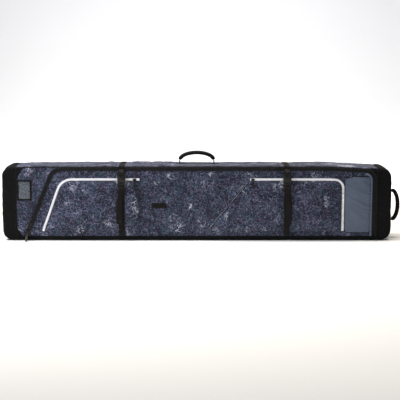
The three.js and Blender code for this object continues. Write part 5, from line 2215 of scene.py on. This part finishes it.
@dataclass(frozen=True)
class Studio:
    """Pale floor, soft light and the camera."""

    distance: float = 4.6
    elevation: float = math.radians(8)
    target: tuple[float, float, float] = (0.0138, 0.0, 0.1596)
    seen: float = 1.696

    def build(self) -> None:
        """Adds everything that isn't the bag."""
        self.floor()
        self.world()
        self.lamp("overhead", (0, 0.1, 2.3), (0, 0, 0), (3.2, 0.4), 92, (1, 0.91, 0.75))
        self.lamp("behind", (0, 1.6, 1.6), (0, 4.5, 0.3), (3.4, 1.0), 140)
        self.lamp("key", (-1.5, -0.7, 1.9), (0.1, 0, 0.15), (0.7, 0.4), 45)
        self.camera()

    def floor(self) -> None:
        """A floor that curves up into a backdrop far behind the bag."""
        line = spaced(rounded([(-7, -0.002, 0), (6, -0.002, 2.5), (6, 6, 0)], closed=False, steps=24), 0.25)
        cells = 12
        points = np.vstack([[(x, y, z) for x in np.linspace(-9, 9, cells + 1)] for y, z in line])
        faces = []
        for i, k in itertools.product(range(len(line) - 1), range(cells)):
            a = i * (cells + 1) + k
            faces.append((a, a + 1, a + cells + 2, a + cells + 1))
        mesh = mesh_of("floor", Solid(points, faces))
        mesh.shade_smooth()
        shader = Shader("floor_paper", Specular_IOR_Level=0.1)
        cloud = shader.noise(shader.place(), 1.2, 3, 0.5)
        shader.colour(shader.mix(cloud, (0.86, 0.86, 0.87), (0.90, 0.90, 0.91)))
        shader.rough(0.85 + 0.1 * cloud)
        mesh.materials.append(shader.material)
        placed("floor", mesh)

    @staticmethod
    def world() -> None:
        """An even pale surround."""
        world = bpy.data.worlds.new("studio")
        world.use_nodes = True
        inputs = world.node_tree.nodes["Background"].inputs
        inputs["Color"].default_value = (0.93, 0.95, 1, 1)
        inputs["Strength"].default_value = 0.27
        bpy.context.scene.world = world

    @staticmethod
    def lamp(name: str, place: Sequence[float], target: Sequence[float], size: tuple[float, float],
             power: float, colour: Colour = (1, 1, 1)) -> None:
        """A soft rectangular lamp that faces a target.

        Args:
            name: Its name.
            place: Where it hangs.
            target: The place that it faces.
            size: Its two sides.
            power: Its power in watts.
            colour: Its colour.
        """
        light = bpy.data.lights.new(name, "AREA")
        light.shape = "RECTANGLE"
        light.size, light.size_y = size
        light.energy = power
        light.color = colour
        lamp = placed(name, light)
        lamp.location = place
        lamp.rotation_euler = (Vector(target) - Vector(place)).to_track_quat("-Z", "Y").to_euler()

    def camera(self) -> None:
        """A camera a little above the bag, straight in front of its middle."""
        lens = bpy.data.cameras.new("camera")
        lens.sensor_width = 36
        lens.lens = 36 * (self.distance - 0.09) / self.seen
        camera = placed("camera", lens)
        back = Vector((0, -math.cos(self.elevation), math.sin(self.elevation)))
        camera.location = Vector(self.target) + back * self.distance
        camera.rotation_euler = (-back).to_track_quat("-Z", "Y").to_euler()
        bpy.context.scene.camera = camera


def main() -> None:
    """Builds the bag in order, then the studio."""
    logging.basicConfig(level=logging.INFO, format="%(message)s")
    skin = Skin.read()
    LOG.info("skin: %s", skin)
    feet = {joint["name"]: joint["pos_m"] for joint in frame["joints"] if joint["name"].endswith("flop")}
    above = Matrix.Translation((0, feet["carry_handle_flop"][1], skin.height))
    beside = (Matrix.Translation((skin.half_length, 0, feet["tow_handle_flop"][2]))
              @ Matrix.Rotation(math.pi / 2, 4, "Y"))
    handles = [
        Handle("carry_handle", span=145 * MM, height=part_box("carry_handle_grip")[1].z - skin.height,
               place=above),
        Handle("tow_handle", span=127 * MM, height=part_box("tow_handle_grip")[1].x - skin.half_length,
               place=beside),
    ]
    for assembly in (Shell(skin), Zips(skin), Pockets(skin), Trim(skin), Straps(skin), Sliders(skin),
                     Lining(skin)):
        LOG.info("assembly: %s", type(assembly).__name__)
        assembly.build()
        assembly.dress()
    for handle in handles:
        handle.build()
    for level in ("lower", "upper"):
        Wheel(level).build()
    Studio().build()
    bpy.context.scene.view_settings.view_transform = "Standard"


if __name__ == "__main__":
    main()
